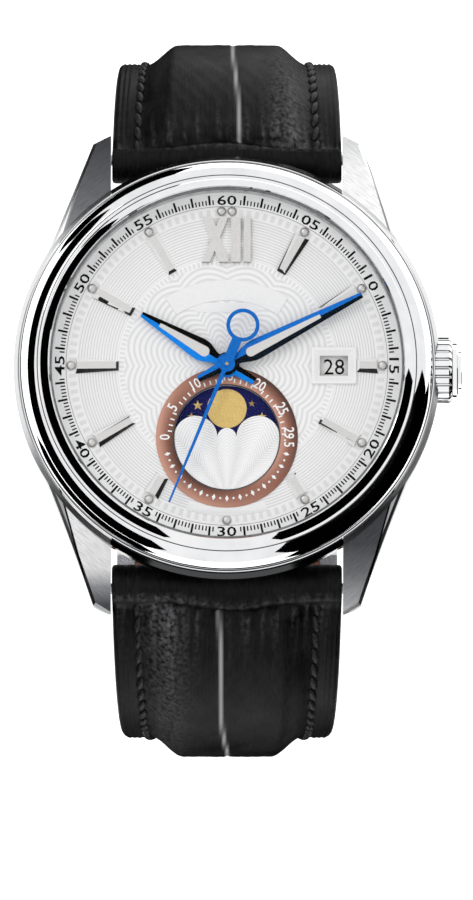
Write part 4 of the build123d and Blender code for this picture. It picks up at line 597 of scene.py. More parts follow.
@dataclass(frozen=True)
class CaseSteel:
    """Steel of the mid case: brushed lug tops, satin flanks, polished edges and inner faces.

    Args:
        name: the finish's name.
        stroke_angle: slant of the brushing on the lugs' tops, mirrored from lug to lug.
        stroke_pitch: spacing of the strokes in millimetres, coarser than real ones, to show.
        inner_face: half the gap between a pair of lugs.
        reach: how far the lugs' tips are from the middle.
        left: greys of the brushed steel from 6 to 12 o'clock on the left: painted reflections and
            shade.
        right: the same on the right.
        rim: greys of the plain band outside the brushed tops, on both sides: painted reflections
            and shade.
        rim_line: x of that band's inner border at y = 0, and its way in for each millimetre of y.
        half_line: half the width of the painted reflection line at the border.
    """

    name: str = "steel_brushed_with_polished_edges"
    stroke_angle: float = 38.0
    stroke_pitch: float = 0.07
    inner_face: float = 11.0
    reach: float = 23.0
    left: tuple[tuple[float, str], ...] = (
        (0.0, "#47484b"), (0.02, "#505154"), (0.055, "#96979a"), (0.09, "#eeeeef"),
        (0.20, "#f4f4f5"), (0.26, "#9c9d9f"), (0.72, "#a2a3a5"), (0.84, "#707174"),
        (1.0, "#424346"),
    )
    right: tuple[tuple[float, str], ...] = (
        (0.0, "#c2c3c5"), (0.035, "#a4a5a7"), (0.08, "#77787b"), (0.14, "#4c4d50"),
        (0.26, "#3c3d40"), (0.60, "#d6d7d9"), (0.70, "#ffffff"), (0.92, "#ffffff"),
        (1.0, "#d2d3d5"),
    )
    rim: tuple[tuple[float, str], ...] = (
        (0.0, "#b4b5b7"), (0.30, "#9c9d9f"), (0.50, "#86878a"), (0.62, "#98999c"),
        (0.74, "#f0f0f1"),
    )
    rim_line: tuple[float, float] = (19.13, 0.286)
    half_line: float = 0.09

    def material(self) -> bpy.types.Material:
        """Builds the finish: a face's own direction tells a brushed top from a flank or an edge.

        Returns:
            The material.
        """
        material, tree = new_tree(self.name)
        place = millimetres(tree)
        mirrored = add_node(tree, "VectorMath", place, operation="ABSOLUTE")
        turn = (0.0, 0.0, math.radians(self.stroke_angle))
        lying = add_node(
            tree, "VectorRotate", named={"Vector": mirrored, "Rotation": turn},
            rotation_type="EULER_XYZ",
        )
        stretch = (0.9, 1 / self.stroke_pitch, 1.2)
        lying = add_node(tree, "VectorMath", lying, stretch, operation="MULTIPLY")
        strokes = add_node(tree, "TexNoise", named={"Vector": lying, "Scale": 1.0, "Detail": 3.0})
        where = add_node(tree, "SeparateXYZ", place, out=None)
        apart = add_node(tree, "SeparateXYZ", mirrored, out=None)
        # painted reflections and shade: the greys change from 6 to 12 o'clock and from the left
        # lugs to the right ones
        up_the_case = add_node(tree, "MapRange", where[1], -self.reach, self.reach, 0.0, 1.0)
        left, right, rim = (
            add_node(tree, "ValToRGB", up_the_case, stops=stops)
            for stops in (self.left, self.right, self.rim)
        )
        on_right, upper = (
            add_node(tree, "Math", where[axis], 0.0, operation="GREATER_THAN") for axis in (0, 1)
        )
        grey = add_node(tree, "Mix", named={0: on_right, 6: left, 7: right}, **COLOUR_MIX)
        contrast = add_node(tree, "ValToRGB", strokes, stops=((0.30, "#dcdcdc"), (0.62, "#ffffff")))
        brushed = {0: 1.0, 6: grey, 7: contrast}
        brushed = add_node(tree, "Mix", named=brushed, blend_type="MULTIPLY", **COLOUR_MIX)
        line, slope = self.rim_line
        beyond = add_node(tree, "Math", apart[1], slope, apart[0], operation="MULTIPLY_ADD")
        on_rim = add_node(tree, "Math", beyond, line, operation="GREATER_THAN")
        on_line = add_node(tree, "Math", beyond, line, self.half_line, operation="COMPARE")
        # painted reflection: the border's line is near black on the upper lugs and grey on the
        # lower ones
        groove = {0: upper, 6: linear("#08080a"), 7: linear("#8e8f91")}
        groove = add_node(tree, "Mix", named=groove, **COLOUR_MIX)
        facing = add_node(tree, "SeparateXYZ", add_node(tree, "TexCoord", out="Normal"), out="Z")
        top = add_node(tree, "Math", facing, 0.5, operation="GREATER_THAN")
        polished, between = (
            add_node(tree, "Math", apart[0], reach, operation="LESS_THAN")
            for reach in (self.inner_face + 0.02, self.inner_face - 0.1)
        )
        # each layer covers what is under it where its share is 1
        for share, layer in ((on_rim, rim), (on_line, groove)):
            brushed = add_node(tree, "Mix", named={0: share, 6: brushed, 7: layer}, **COLOUR_MIX)
        colour = linear("#b4b5b7")
        # between the lugs the flank is near black: painted shade and a painted reflection of the
        # dark strap
        for share, layer in (
            (top, brushed), (polished, linear("#d0d1d3")), (between, linear("#1c1d1f")),
        ):
            colour = add_node(tree, "Mix", named={0: share, 6: colour, 7: layer}, **COLOUR_MIX)
        rough = add_node(tree, "MapRange", polished, 0.0, 1.0, 0.36, 0.12)
        close(tree, colour, 1.0, rough, strokes, 0.002)
        return material


@dataclass(frozen=True)
class BezelSteel:
    """Mirror polished steel, with a narrow matt line of painted shade where each of the bezel's
    steps was cut.

    Args:
        name: the finish's name.
        lines: radii of the lines.
        half_line: half their width.
    """

    name: str = "stainless_steel_mirror_polished"
    lines: tuple[float, ...] = (17.93, 19.53)
    half_line: float = 0.05

    def material(self) -> bpy.types.Material:
        """Builds the finish: near a line's radius the steel is matt and painted dark, as shade in
        the step.

        Returns:
            The material.
        """
        material, tree = new_tree(self.name)
        place = millimetres(tree)
        radius = from_axis(tree, place)
        matt: Any = 0.0
        for line in self.lines:
            near = add_node(tree, "Math", radius, line, self.half_line, operation="COMPARE")
            matt = add_node(tree, "Math", near, matt, operation="MAXIMUM")
        haze = add_node(tree, "TexNoise", named={"Vector": place, "Scale": 0.4, "Detail": 2.0})
        bright = add_node(tree, "ValToRGB", haze, stops=((0.3, "#e6e7e9"), (0.7, "#f4f4f5")))
        # painted shade: the steel is dark grey along the steps' lines
        layers = {0: matt, 6: bright, 7: linear("#4c4d50")}
        colour = add_node(tree, "Mix", named=layers, **COLOUR_MIX)
        rough = add_node(tree, "MapRange", matt, 0.0, 1.0, 0.03, 0.4)
        close(tree, colour, 1.0, rough)
        return material


@dataclass(frozen=True)
class CrownSteel:
    """Polished steel with painted shade in its grooves and on its steps, from the crown's own
    groove mark.

    Args:
        name: the finish's name.
        greys: greys from a ridge down to a groove's floor, the dark ones painted shade.
    """

    name: str = "stainless_steel_polished_fluted"
    greys: tuple[tuple[float, str], ...] = (
        (0.0, "#f4f4f5"), (0.12, "#e6e7e9"), (0.30, "#2c2d2f"), (0.50, "#56575a"),
        (0.78, "#e9eaeb"), (1.0, "#f4f4f5"),
    )

    def material(self) -> bpy.types.Material:
        """Builds the finish: a groove's walls are painted dark, as shade, and its floor is bright.

        Returns:
            The material.
        """
        material, tree = new_tree(self.name)
        groove = add_node(tree, "Attribute", attribute_name="groove", out="Fac")
        # painted shade: the groove mark darkens the grooves' walls and bands on the crown's steps
        colour = add_node(tree, "ValToRGB", groove, stops=self.greys)
        rough = add_node(tree, "MapRange", groove, 0.0, 1.0, 0.08, 0.3)
        close(tree, colour, 1.0, rough)
        return material


@dataclass(frozen=True)
class Enamel:
    """A lacquered, printed or moulded surface with a fine unevenness.

    Args:
        name: the finish's name.
        light: colour of most of it.
        dark: colour of its faint clouds.
        roughness: of the surface.
        grain: size of the clouds in millimetres.
        depth: unevenness in millimetres.
        metallic: how far it is metal.
        coat: clear lacquer over it.
        alpha: how much of the light behind it is covered.
        specular: strength of its shine.
    """

    name: str
    light: str
    dark: str
    roughness: float
    grain: float = 0.5
    depth: float = 0.002
    metallic: float = 0.0
    coat: float = 0.0
    alpha: float = 1.0
    specular: float = 0.5

    def material(self) -> bpy.types.Material:
        """Builds the finish from fine noise.

        Returns:
            The material.
        """
        material, tree = new_tree(self.name)
        noise = {"Vector": millimetres(tree), "Scale": 1 / self.grain, "Detail": 3.0}
        clouds = add_node(tree, "TexNoise", named=noise)
        colour = add_node(tree, "ValToRGB", clouds, stops=((0.35, self.dark), (0.65, self.light)))
        bright, dull = self.roughness * 0.8, self.roughness * 1.2
        rough = add_node(tree, "MapRange", clouds, 0.0, 1.0, bright, dull)
        others = {
            "Coat Weight": self.coat, "Alpha": self.alpha, "Specular IOR Level": self.specular
        }
        close(tree, colour, self.metallic, rough, clouds, self.depth, others)
        return material


@dataclass(frozen=True)
class DomedCopper:
    """Copper plated ring, satin, with painted light on the side that faces the lower left and
    painted shade on the other.
    """

    name: str = "copper_plate_satin"

    def material(self) -> bpy.types.Material:
        """Builds the finish from painted light and shade, after the way the face leans, and a fine
        blasted grain.

        Returns:
            The material.
        """
        material, tree = new_tree(self.name)
        grain = add_node(tree, "TexNoise", named={"Vector": millimetres(tree), "Scale": 14.0})
        facing = add_node(tree, "TexCoord", out="Normal")
        # painted light and shade: faces that lean to the lower left are paler, the others darker
        bright = (-0.75, -0.6, 0.0)
        lean = add_node(tree, "VectorMath", facing, bright, operation="DOT_PRODUCT", out="Value")
        tone = add_node(tree, "MapRange", lean, -0.22, 0.22, 0.10, 0.90)
        mottled = add_node(tree, "Math", grain, 0.16, tone, operation="MULTIPLY_ADD")
        stops = ((0.1, "#382019"), (0.5, "#8c5b4a"), (1.0, "#cf9a86"))
        close(tree, add_node(tree, "ValToRGB", mottled, stops=stops), 0.35, 0.42, grain, 0.004)
        return material


@dataclass(frozen=True)
class EngineTurnedDial:
    """Silvered dial, cut by an engine lathe: waves in the middle, rings and two checked borders.

    Args:
        name: the finish's name.
        wave_reach: radius of the wavy field.
        wave_pitch: spacing of its lines.
        wave_height: how far a line bows between two axes.
        waves: bows round the dial.
        ring_pitch: spacing of the outer rings, drawn a little coarser than real ones, to show.
        inner_squares: inner and outer radius of the inner border, and squares round it.
        rings: inner and outer radius of the rings' field.
        outer_squares: the outer border's radii and squares.
    """

    name: str = "silvered_brass_engine_turned"
    wave_reach: float = 9.7
    wave_pitch: float = 0.55
    wave_height: float = 0.75
    waves: int = 6
    ring_pitch: float = 0.265
    inner_squares: tuple[float, float, int] = (9.72, 10.2, 144)
    rings: tuple[float, float] = (10.35, 14.2)
    outer_squares: tuple[float, float, int] = (14.3, 14.95, 120)

    def material(self) -> bpy.types.Material:
        """Builds the finish: each zone's pattern lowers a tone that sets height and a painted
        shade.

        Returns:
            The material.
        """
        material, tree = new_tree(self.name)
        place = millimetres(tree)
        apart = add_node(tree, "SeparateXYZ", place, out=None)
        radius = from_axis(tree, place)
        angle = add_node(tree, "Math", apart[1], apart[0], operation="ARCTAN2")
        # bow = height * |sin(waves * angle)|, so that lines meet in cusps on the axes
        swing = add_node(tree, "Math", angle, float(self.waves), operation="MULTIPLY")
        sine = add_node(tree, "Math", swing, operation="SINE")
        bow = add_node(tree, "Math", sine, operation="ABSOLUTE")
        level = add_node(tree, "Math", bow, -self.wave_height, radius, operation="MULTIPLY_ADD")
        wave = self.ripple(tree, level, self.wave_pitch, 1.5)
        ring = self.ripple(tree, radius, self.ring_pitch, 1.4)
        inner = self.squares(tree, angle, self.inner_squares[2])
        outer = self.squares(tree, angle, self.outer_squares[2])
        tone: Any = 1.0
        for pattern, low, high, strength in (
            (wave, 0.0, self.wave_reach, 0.17), (ring, *self.rings, 0.21),
            (inner, *self.inner_squares[:2], 0.13), (outer, *self.outer_squares[:2], 0.12),
        ):
            middle, half = (low + high) / 2, (high - low) / 2
            inside = add_node(tree, "Math", radius, middle, half, operation="COMPARE")
            cut = add_node(tree, "Math", pattern, inside, operation="MULTIPLY")
            tone = add_node(tree, "Math", cut, -strength, tone, operation="MULTIPLY_ADD")
        # the cuts are real bumps, and their greyer colour is painted shade
        colour = add_node(tree, "ValToRGB", tone, stops=((0.5, "#a3a3a3"), (1.0, "#f7f7f7")))
        rough = add_node(tree, "MapRange", tone, 0.5, 1.0, 0.6, 0.42)
        close(tree, colour, 0.1, rough, tone, 0.03)
        return material

    @staticmethod
    def ripple(
        tree: bpy.types.NodeTree, level: bpy.types.NodeSocket, pitch: float, sharpness: float
    ) -> bpy.types.NodeSocket:
        """Rounded lines, (0.5 + 0.5 cos(turns of level / pitch)) to the power of the sharpness.

        Args:
            tree: the material's tree.
            level: what the lines run along.
            pitch: their spacing.
            sharpness: how narrow they are.

        Returns:
            A tone from 0 to 1.
        """
        turns = add_node(tree, "Math", level, TURN / pitch, operation="MULTIPLY")
        cosine = add_node(tree, "Math", turns, operation="COSINE")
        wave = add_node(tree, "Math", cosine, 0.5, 0.5, operation="MULTIPLY_ADD")
        return add_node(tree, "Math", wave, sharpness, operation="POWER")

    @staticmethod
    def squares(
        tree: bpy.types.NodeTree, angle: bpy.types.NodeSocket, count: int
    ) -> bpy.types.NodeSocket:
        """Squares round the dial, cut every other one.

        Args:
            tree: the material's tree.
            angle: the angle round the dial.
            count: squares round it.

        Returns:
            1 in a cut square and 0 beside it.
        """
        turns = add_node(tree, "Math", angle, count / TURN, operation="MULTIPLY")
        part = add_node(tree, "Math", turns, operation="FRACT")
        return add_node(tree, "Math", part, 0.5, operation="LESS_THAN")


@dataclass(frozen=True)
class PaddedLeather:
    """Black calf leather, glazed, with a fine lengthwise grain, a painted sheen and a painted
    highlight on its seam.

    Args:
        name: the finish's name.
        deep: colour in the grain.
        worn: colour on the grain's crests.
        rubbed: colour of the painted sheen.
        seam: colour of the painted highlight on the seam.
        grain: width of the grain in millimetres.
    """

    name: str = "calf_leather_black_glazed"
    deep: str = "#010102"
    worn: str = "#171718"
    rubbed: str = "#6c6c6e"
    seam: str = "#a2a2a3"
    grain: float = 0.22

    def material(self) -> bpy.types.Material:
        """Builds the finish from the piece's map in millimetres: u runs across it and v along.

        Returns:
            The material.
        """
        material, tree = new_tree(self.name)
        along = add_node(tree, "UVMap", uv_map="surface")
        stretch = (1 / self.grain, 0.22 / self.grain, 1.0)
        lying = add_node(tree, "VectorMath", along, stretch, operation="MULTIPLY")
        fine, clouds, mottled = (
            add_node(tree, "TexNoise", named={"Vector": at, "Scale": scale, "Detail": detail})
            for at, scale, detail in ((lying, 1.0, 4.0), (along, 0.28, 2.0), (along, 2.4, 3.0))
        )
        tone = add_node(tree, "Math", fine, clouds, operation="MULTIPLY")
        colour = add_node(tree, "ValToRGB", tone, stops=((0.12, self.deep), (0.42, self.worn)))
        mottled = add_node(tree, "MapRange", mottled, 0.35, 0.7, 0.0, 1.0)
        # painted sheen, mottled, where the piece's sheen mark is high, and a painted highlight on
        # the seam
        worn, seam = (
            add_node(tree, "Attribute", attribute_name=mark, out="Fac") for mark in ("worn", "seam")
        )
        worn = add_node(tree, "Math", worn, mottled, operation="MULTIPLY")
        for share, pale in ((worn, self.rubbed), (seam, self.seam)):
            layers = {0: share, 6: colour, 7: linear(pale)}
            colour = add_node(tree, "Mix", named=layers, **COLOUR_MIX)
        rough = add_node(tree, "MapRange", clouds, 0.3, 0.7, 0.42, 0.62)
        close(tree, colour, 0.0, rough, fine, 0.05, {"Specular IOR Level": 0.1})
        return material


# ---------------------------------------------------------------- studio


@dataclass(frozen=True)
class Card:
    """A dark card round the watch, pointed at both ends.

    Args:
        start: its first azimuth in degrees, counted from +X.
        end: its last azimuth.
        lows: its lowest elevation at both.
        high: its highest elevation.
        distance: how far it stands from the dial's middle.
    """

    start: float
    end: float
    lows: tuple[float, float]
    high: float
    distance: float = 330.0


@dataclass
class Studio:
    """Floor, lamps, dark cards and camera round the watch.

    Args:
        floor_height: height of the floor, where the strap's loop stands.
        floor_size: its side.
        elevation: the camera's height above the dial's plane in degrees, from the 6 o'clock side.
        distance: from the camera to the dial.
        pixels_per_mm: the picture's scale at the dial.
        aim_right: how far right of the dial's middle the picture's middle lies.
        aim_down: how far below it.
        dial_height: height of the dial.
        floor_gap: how far below the dial's foot a card may reach, just above the floor.
        cards: dark cards that only polished surfaces show, those near the floor last.
        card_taper: degrees of azimuth over which a card comes to a point.
    """

    floor_height: float = -51.25
    floor_size: float = 3000.0
    elevation: float = 82.4
    distance: float = 2000.0
    pixels_per_mm: float = 10.57
    aim_right: float = 0.91
    aim_down: float = 7.97
    dial_height: float = 6.9
    card_taper: float = 6.0
    floor_gap: float = 49.0
    cards: tuple[Card, ...] = (
        Card(122.0, 250.0, (3.0, -7.0), 36.0), Card(286.0, 366.0, (-8.0, -8.0), 54.0),
        Card(98.0, 142.0, (-34.0, -30.0), 6.0, 75.0),
        Card(194.0, 248.0, (-34.0, -34.0), -1.0, 75.0),
        Card(288.0, 362.0, (-33.0, -33.0), 2.0, 75.0),
        Card(236.0, 304.0, (-60.0, -60.0), -32.0, 75.0),
        Card(56.0, 124.0, (-60.0, -60.0), -32.0, 75.0),
    )

    def build(self) -> None:
        """Makes everything that isn't the watch."""
        self.make_world()
        self.make_floor()
        for number, card in enumerate(self.cards):
            self.make_card(f"dark_card_{number}", card)
        self.make_lamp("key_lamp", (-260.0, 260.0, 520.0), 300.0, 0.72)
        self.make_lamp("fill_lamp", (330.0, -160.0, 460.0), 340.0, 0.38)
        self.make_camera()

    @staticmethod
    def seen_directly(tree: bpy.types.NodeTree) -> bpy.types.NodeSocket:
        """1 for rays from the camera, a mirror or glass, and 0 for light that falls on things.

        Args:
            tree: the floor's or the world's tree.

        Returns:
            The larger of three marks.
        """
        ray = add_node(tree, "LightPath", out=None)
        first = add_node(
            tree, "Math", ray["Is Camera Ray"], ray["Is Glossy Ray"], operation="MAXIMUM",
        )
        return add_node(tree, "Math", first, ray["Is Transmission Ray"], operation="MAXIMUM")

    def make_world(self) -> None:
        """A white surround that lights the watch a little less than it shows."""
        world = bpy.data.worlds.new("white_tent")
        bpy.context.scene.world = world
        world.use_nodes = True
        tree = world.node_tree
        tree.nodes.clear()
        shown = add_node(tree, "Background", (1.0, 1.0, 1.0, 1.0), 1.0)
        light = add_node(tree, "Background", (1.0, 1.0, 1.0, 1.0), 0.88)
        both = add_node(tree, "MixShader", self.seen_directly(tree), light, shown)
        add_node(tree, "OutputWorld", both)

    def make_floor(self) -> None:
        """A pale floor that shows white and keeps the watch's shadow."""
        material, tree = new_tree("pale_paper_floor")
        grain = add_node(tree, "TexNoise", named={"Vector": millimetres(tree), "Scale": 0.4})
        paper = add_node(tree, "ValToRGB", grain, stops=((0.3, "#ececea"), (0.7, "#f2f2f1")))
        matt = add_node(tree, "BsdfDiffuse", paper)
        glow = add_node(tree, "Emission", (1.0, 1.0, 1.0, 1.0), self.seen_directly(tree))
        faint = add_node(tree, "MixShader", 0.5, matt, glow)
        add_node(tree, "OutputMaterial", add_node(tree, "AddShader", matt, faint))
        half = self.floor_size / 2
        corners = raised(rectangle(-half, half, -half, half), self.floor_height)
        shape = Shape(corners, [np.arange(4)[None, :]])
        floor = placed("floor", plain_mesh("floor", shape))
        floor.data.materials.append(material)

    def make_card(self, name: str, card: Card) -> None:
        """Makes a card: a piece of a sphere that narrows to its ends, which only reflections show.

        Args:
            name: the card's name.
            card: where it stands.
        """
        degrees = np.linspace(card.start, card.end, 40)
        low = np.linspace(*card.lows, 40)
        middle = (low + card.high) / 2
        from_end = np.minimum(degrees - card.start, card.end - degrees)
        narrow = np.clip(from_end / self.card_taper, 0.02, 1.0)
        share = np.linspace(-0.5, 0.5, 8)[:, None]
        up = np.radians(middle + share * narrow * (card.high - low))
        reach = np.minimum(card.distance, self.floor_gap / np.maximum(-np.sin(up), 0.01))
        toward = raised(np.cos(up)[..., None] * rays(np.radians(degrees)), np.sin(up))
        screen = placed(name, plain_mesh(name, grid(reach[..., None] * toward)))
        felt = Enamel("black_felt", "#020202", "#000000", 1.0, 4.0, specular=0.0)
        screen.data.materials.append(felt.material())
        for ray in ("camera", "diffuse", "shadow", "transmission"):
            setattr(screen, f"visible_{ray}", False)

    def make_lamp(
        self, name: str, place: tuple[float, float, float], size: float, power: float
    ) -> None:
        """A soft square lamp aimed at the dial.

        Args:
            name: the lamp's name.
            place: where it hangs.
            size: its side.
            power: its power in watts.
        """
        data = bpy.data.lights.new(name, "AREA")
        data.size = size * MM
        data.energy = power
        away = Vector(place) * MM
        aim = away.to_track_quat("Z", "Y").to_matrix().to_4x4()
        placed(name, data).matrix_world = Matrix.Translation(away) @ aim

    def make_camera(self) -> None:
        """The camera at the photograph's angle: its middle looks a little below the dial's."""
        rise = math.radians(self.elevation)
        toward = Vector((0.0, -math.cos(rise), math.sin(rise)))
        right = Vector((1.0, 0.0, 0.0))
        up = toward.cross(right)
        aim = Vector((0.0, 0.0, self.dial_height)) + right * self.aim_right - up * self.aim_down
        data = bpy.data.cameras.new("camera")
        data.type = "PERSP"
        data.sensor_fit = "AUTO"
        data.sensor_width = 36.0
        # the longer side of the picture is the sensor's width
        data.lens = data.sensor_width * self.distance * self.pixels_per_mm / IMAGE_HEIGHT
        data.clip_start = 0.01
        data.clip_end = 10.0
        camera = placed("camera", data)
        axes = Matrix((right, up, toward)).transposed().to_4x4()
        camera.matrix_world = Matrix.Translation((aim + toward * self.distance) * MM) @ axes
        bpy.context.scene.camera = camera


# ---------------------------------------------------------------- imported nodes


def dress(nodes: dict[str, bpy.types.Object], finish: bpy.types.Material, *names: str) -> None:
    """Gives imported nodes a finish.

    Args:
        nodes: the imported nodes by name.
        finish: their new material.
        names: the nodes.
    """
    for name in names:
        materials = nodes[name].data.materials
        if not materials:
            materials.append(finish)
        for place in range(len(materials)):
            materials[place] = finish


POLISHED_STEEL = Metal("stainless_steel_polished", "#eeeff1", "#dfe0e2", 0.045, Grain.POLISHED, 3.0)
SATIN_STEEL = Metal("stainless_steel_turned_satin", "#c9cacd", "#8f9093", 0.3, Grain.TURNED, 0.12)
# lit and shaded copies of the blued steel for the hands' facets: painted light and shade
BLUED_PAINTED_LIGHT = Enamel(
    "blued_steel_bright_facet", "#0e8bf2", "#0a80e2", 0.4, 0.3, 0.001, metallic=0.3, specular=0.1
)
BLUED_CLEAR = Enamel(
    "blued_steel_clear_facet", "#1170cc", "#0e64b9", 0.4, 0.3, 0.001, metallic=0.3, specular=0.1
)
BLUED_PAINTED_SHADE = Enamel(
    "blued_steel_dark_facet", "#031524", "#010a14", 0.5, 0.3, 0.001, metallic=0.2, specular=0.08
)
BLUED_PAINTED_DEEP_SHADE = Enamel(
    "blued_steel_black_facet", "#010203", "#000001", 0.5, 0.3, 0.001, metallic=0.2, specular=0.05
)
CLEAR_CRYSTAL = Enamel(
    "sapphire_crystal_clear", "#0c0e11", "#090b0e", 0.01, grain=8.0, depth=0.0, alpha=0.03
)


@dataclass
class Case:
    """Mid case, bezel, crystals, case back and crown."""

    # the middle's radius and height, the radius of the bow, and its first and last slope
    crest_arc: tuple[float, ...] = (15.671, 7.129, 2.751, 27.0, 46.0)
    band_arc: tuple[float, ...] = (17.178, 6.85, 2.322, 18.64, 90.0)
    # radius and height, from the foot of the band round the inside to the crest
    bezel_foot: tuple[tuple[float, float], ...] = (
        (19.67, 6.85), (19.67, 6.6), (18.15, 6.6), (18.15, 7.25), (17.45, 7.25), (17.45, 6.6),
        (17.20, 6.6), (17.20, 8.7), (16.75, 8.7), (16.75, 9.38), (16.85, 9.55),
    )
    stem_height: float = 3.3
    ridges: int = 24
    ridge_depth: float = 0.15
    groove_share: float = 0.42
    groove_turn: float = 12.7
    # x, radius, share of the ridges' depth, and painted shade, from the socket to the end's middle
    crown_profile: tuple[tuple[float, float, float, float], ...] = (
        (20.40, 0.02, 0.0, 0.3), (20.40, 1.30, 0.0, 0.3), (19.40, 1.30, 0.0, 0.3),
        (19.40, 2.72, 0.0, 0.3), (19.47, 2.92, 0.5, 0.12), (19.58, 3.10, 1.0, 0.0),
        (19.72, 3.20, 1.0, 0.0), (21.02, 3.20, 1.0, 0.0), (21.16, 3.10, 1.0, 0.06),
        (21.28, 2.92, 0.5, 0.14), (21.35, 2.72, 0.0, 0.28), (21.38, 2.65, 0.0, 0.2),
        (21.41, 2.65, 0.0, 0.0), (21.74, 2.65, 0.0, 0.0), (21.78, 2.65, 0.0, 0.1),
        (21.88, 2.58, 0.0, 0.2), (21.94, 2.45, 0.0, 0.16), (21.95, 2.20, 0.0, 0.0),
        (21.95, 1.88, 0.0, 0.0), (21.95, 1.85, 0.0, 0.3), (22.00, 1.85, 0.0, 0.0),
        (22.22, 1.85, 0.0, 0.0), (22.30, 1.74, 0.0, 0.25), (22.30, 1.60, 0.0, 0.0),
        (22.30, 0.02, 0.0, 0.0),
    )

    # radius and height of the sloped inner ring's corners, from its foot on the dial
    rehaut_loop: tuple[tuple[float, float], ...] = (
        (16.54, 6.9), (16.75, 6.9), (16.75, 6.6), (17.15, 6.6), (17.15, 8.65), (16.70, 8.65),
        (16.70, 8.68), (16.66, 8.68),
    )

    def build(self, nodes: dict[str, bpy.types.Object]) -> None:
        """Dresses the case's nodes and replaces the bezel, the inner ring and the crown.

        Args:
            nodes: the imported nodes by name.
        """
        polished = POLISHED_STEEL.material()
        satin = SATIN_STEEL.material()
        dress(nodes, CaseSteel().material(), "mid_case")
        dress(nodes, polished, "crown_tube", "winding_stem")
        dress(nodes, satin, "case_back", "casing_ring")
        grey = Metal("steel_ring_fine_turned", "#dedfe1", "#bdbec0", 0.4, Grain.TURNED, 0.06)
        piece(
            "rehaut_ring_sloped", turned_profile(np.array(self.rehaut_loop), 240),
            grey.material(), "case", replaces=("rehaut_ring",), crease=20.0,
        )
        crystal = CLEAR_CRYSTAL.material()
        dress(nodes, crystal, "front_crystal", "back_crystal")
        rubber = Enamel("nitrile_rubber_grey_moulded", "#77787a", "#606163", 0.7)
        dress(nodes, rubber.material(), "gaskets")
        steel_spring = Metal("spring_steel_drawn", "#b4b6ba", "#85878b", 0.25, Grain.STRAIGHT, 0.1)
        tips = ("spring_bar_tip_12", "spring_bar_tip_6")
        dress(nodes, steel_spring.material(), "spring_bars", *tips)
        piece(
            "bezel_polished", self.bezel(), BezelSteel().material(), "case",
            replaces=("bezel",), crease=14.0,
        )
        piece(
            "crown_fluted", self.crown(), CrownSteel().material(), "crown_stem",
            replaces=("crown",), crease=28.0,
        )

    def crown(self) -> Shape:
        """The crown: radius = profile - depth * share * valley(angle), turned about the stem.

        Returns:
            The closed crown, with its socket and a mark: the larger of each point's depth in a
            groove and its painted shade.
        """
        angle = round_steps(self.ridges * 20)
        turns = (angle - math.radians(self.groove_turn)) * self.ridges / TURN
        off_middle = np.abs(turns - np.round(turns)) * 2 / self.groove_share
        valley = np.clip(1 - off_middle, 0, 1) ** 0.7
        along, size, share, shade = np.array(self.crown_profile).T[..., None]
        radius = size - self.ridge_depth * share * valley
        shape = closed_tube(
            spread(along, radius * np.sin(angle), radius * np.cos(angle) + self.stem_height)
        )
        depth = share * np.clip(1.1 - off_middle, 0, 1)
        # the groove mark also carries the profile's painted shade
        shape.marks["groove"] = np.maximum(depth, shade).ravel()
        return shape

    def bezel(self) -> Shape:
        """The bezel, from two bows: radius = centre + bow sin(slope), height alike with cos.

        Returns:
            The ring, turned about Z, with the groove for the case's neck below.
        """
        loops = [
            np.array([[middle, height]]) + bow * rays(np.radians(np.linspace(*lean)))[:, ::-1]
            for middle, height, bow, *lean in ((*self.crest_arc, 13), (*self.band_arc, 33))
        ]
        return turned_profile(np.concatenate((*loops, self.bezel_foot)), 360)


# ---------------------------------------------------------------- dial


def plate(
    inner: float,
    outer: float,
    start: float,
    end: float,
    low: float,
    high: float,
    centre: float = 0.0,
) -> Shape:
    """A thin curved plate between two radii and two angles, with a softened rim.

    Args:
        inner: its inner radius.
        outer: its outer radius.
        start: its first angle in degrees.
        end: its last angle.
        low: height of its underside.
        high: height of its top.
        centre: y of the arcs' middle.

    Returns:
        The closed plate.
    """
    outlines = []
    for inset in (0.0, 0.05):
        ray = rays(np.radians(np.linspace(start + inset * 6, end - inset * 6, 40)))
        outlines.append(np.concatenate(((outer - inset) * ray, (inner + inset) * ray[::-1])))
    rim, crown = outlines
    loops = ((rim, low), (rim, low + 0.6 * (high - low)), (crown, high))
    return stacked(loops).moved(0.0, centre)


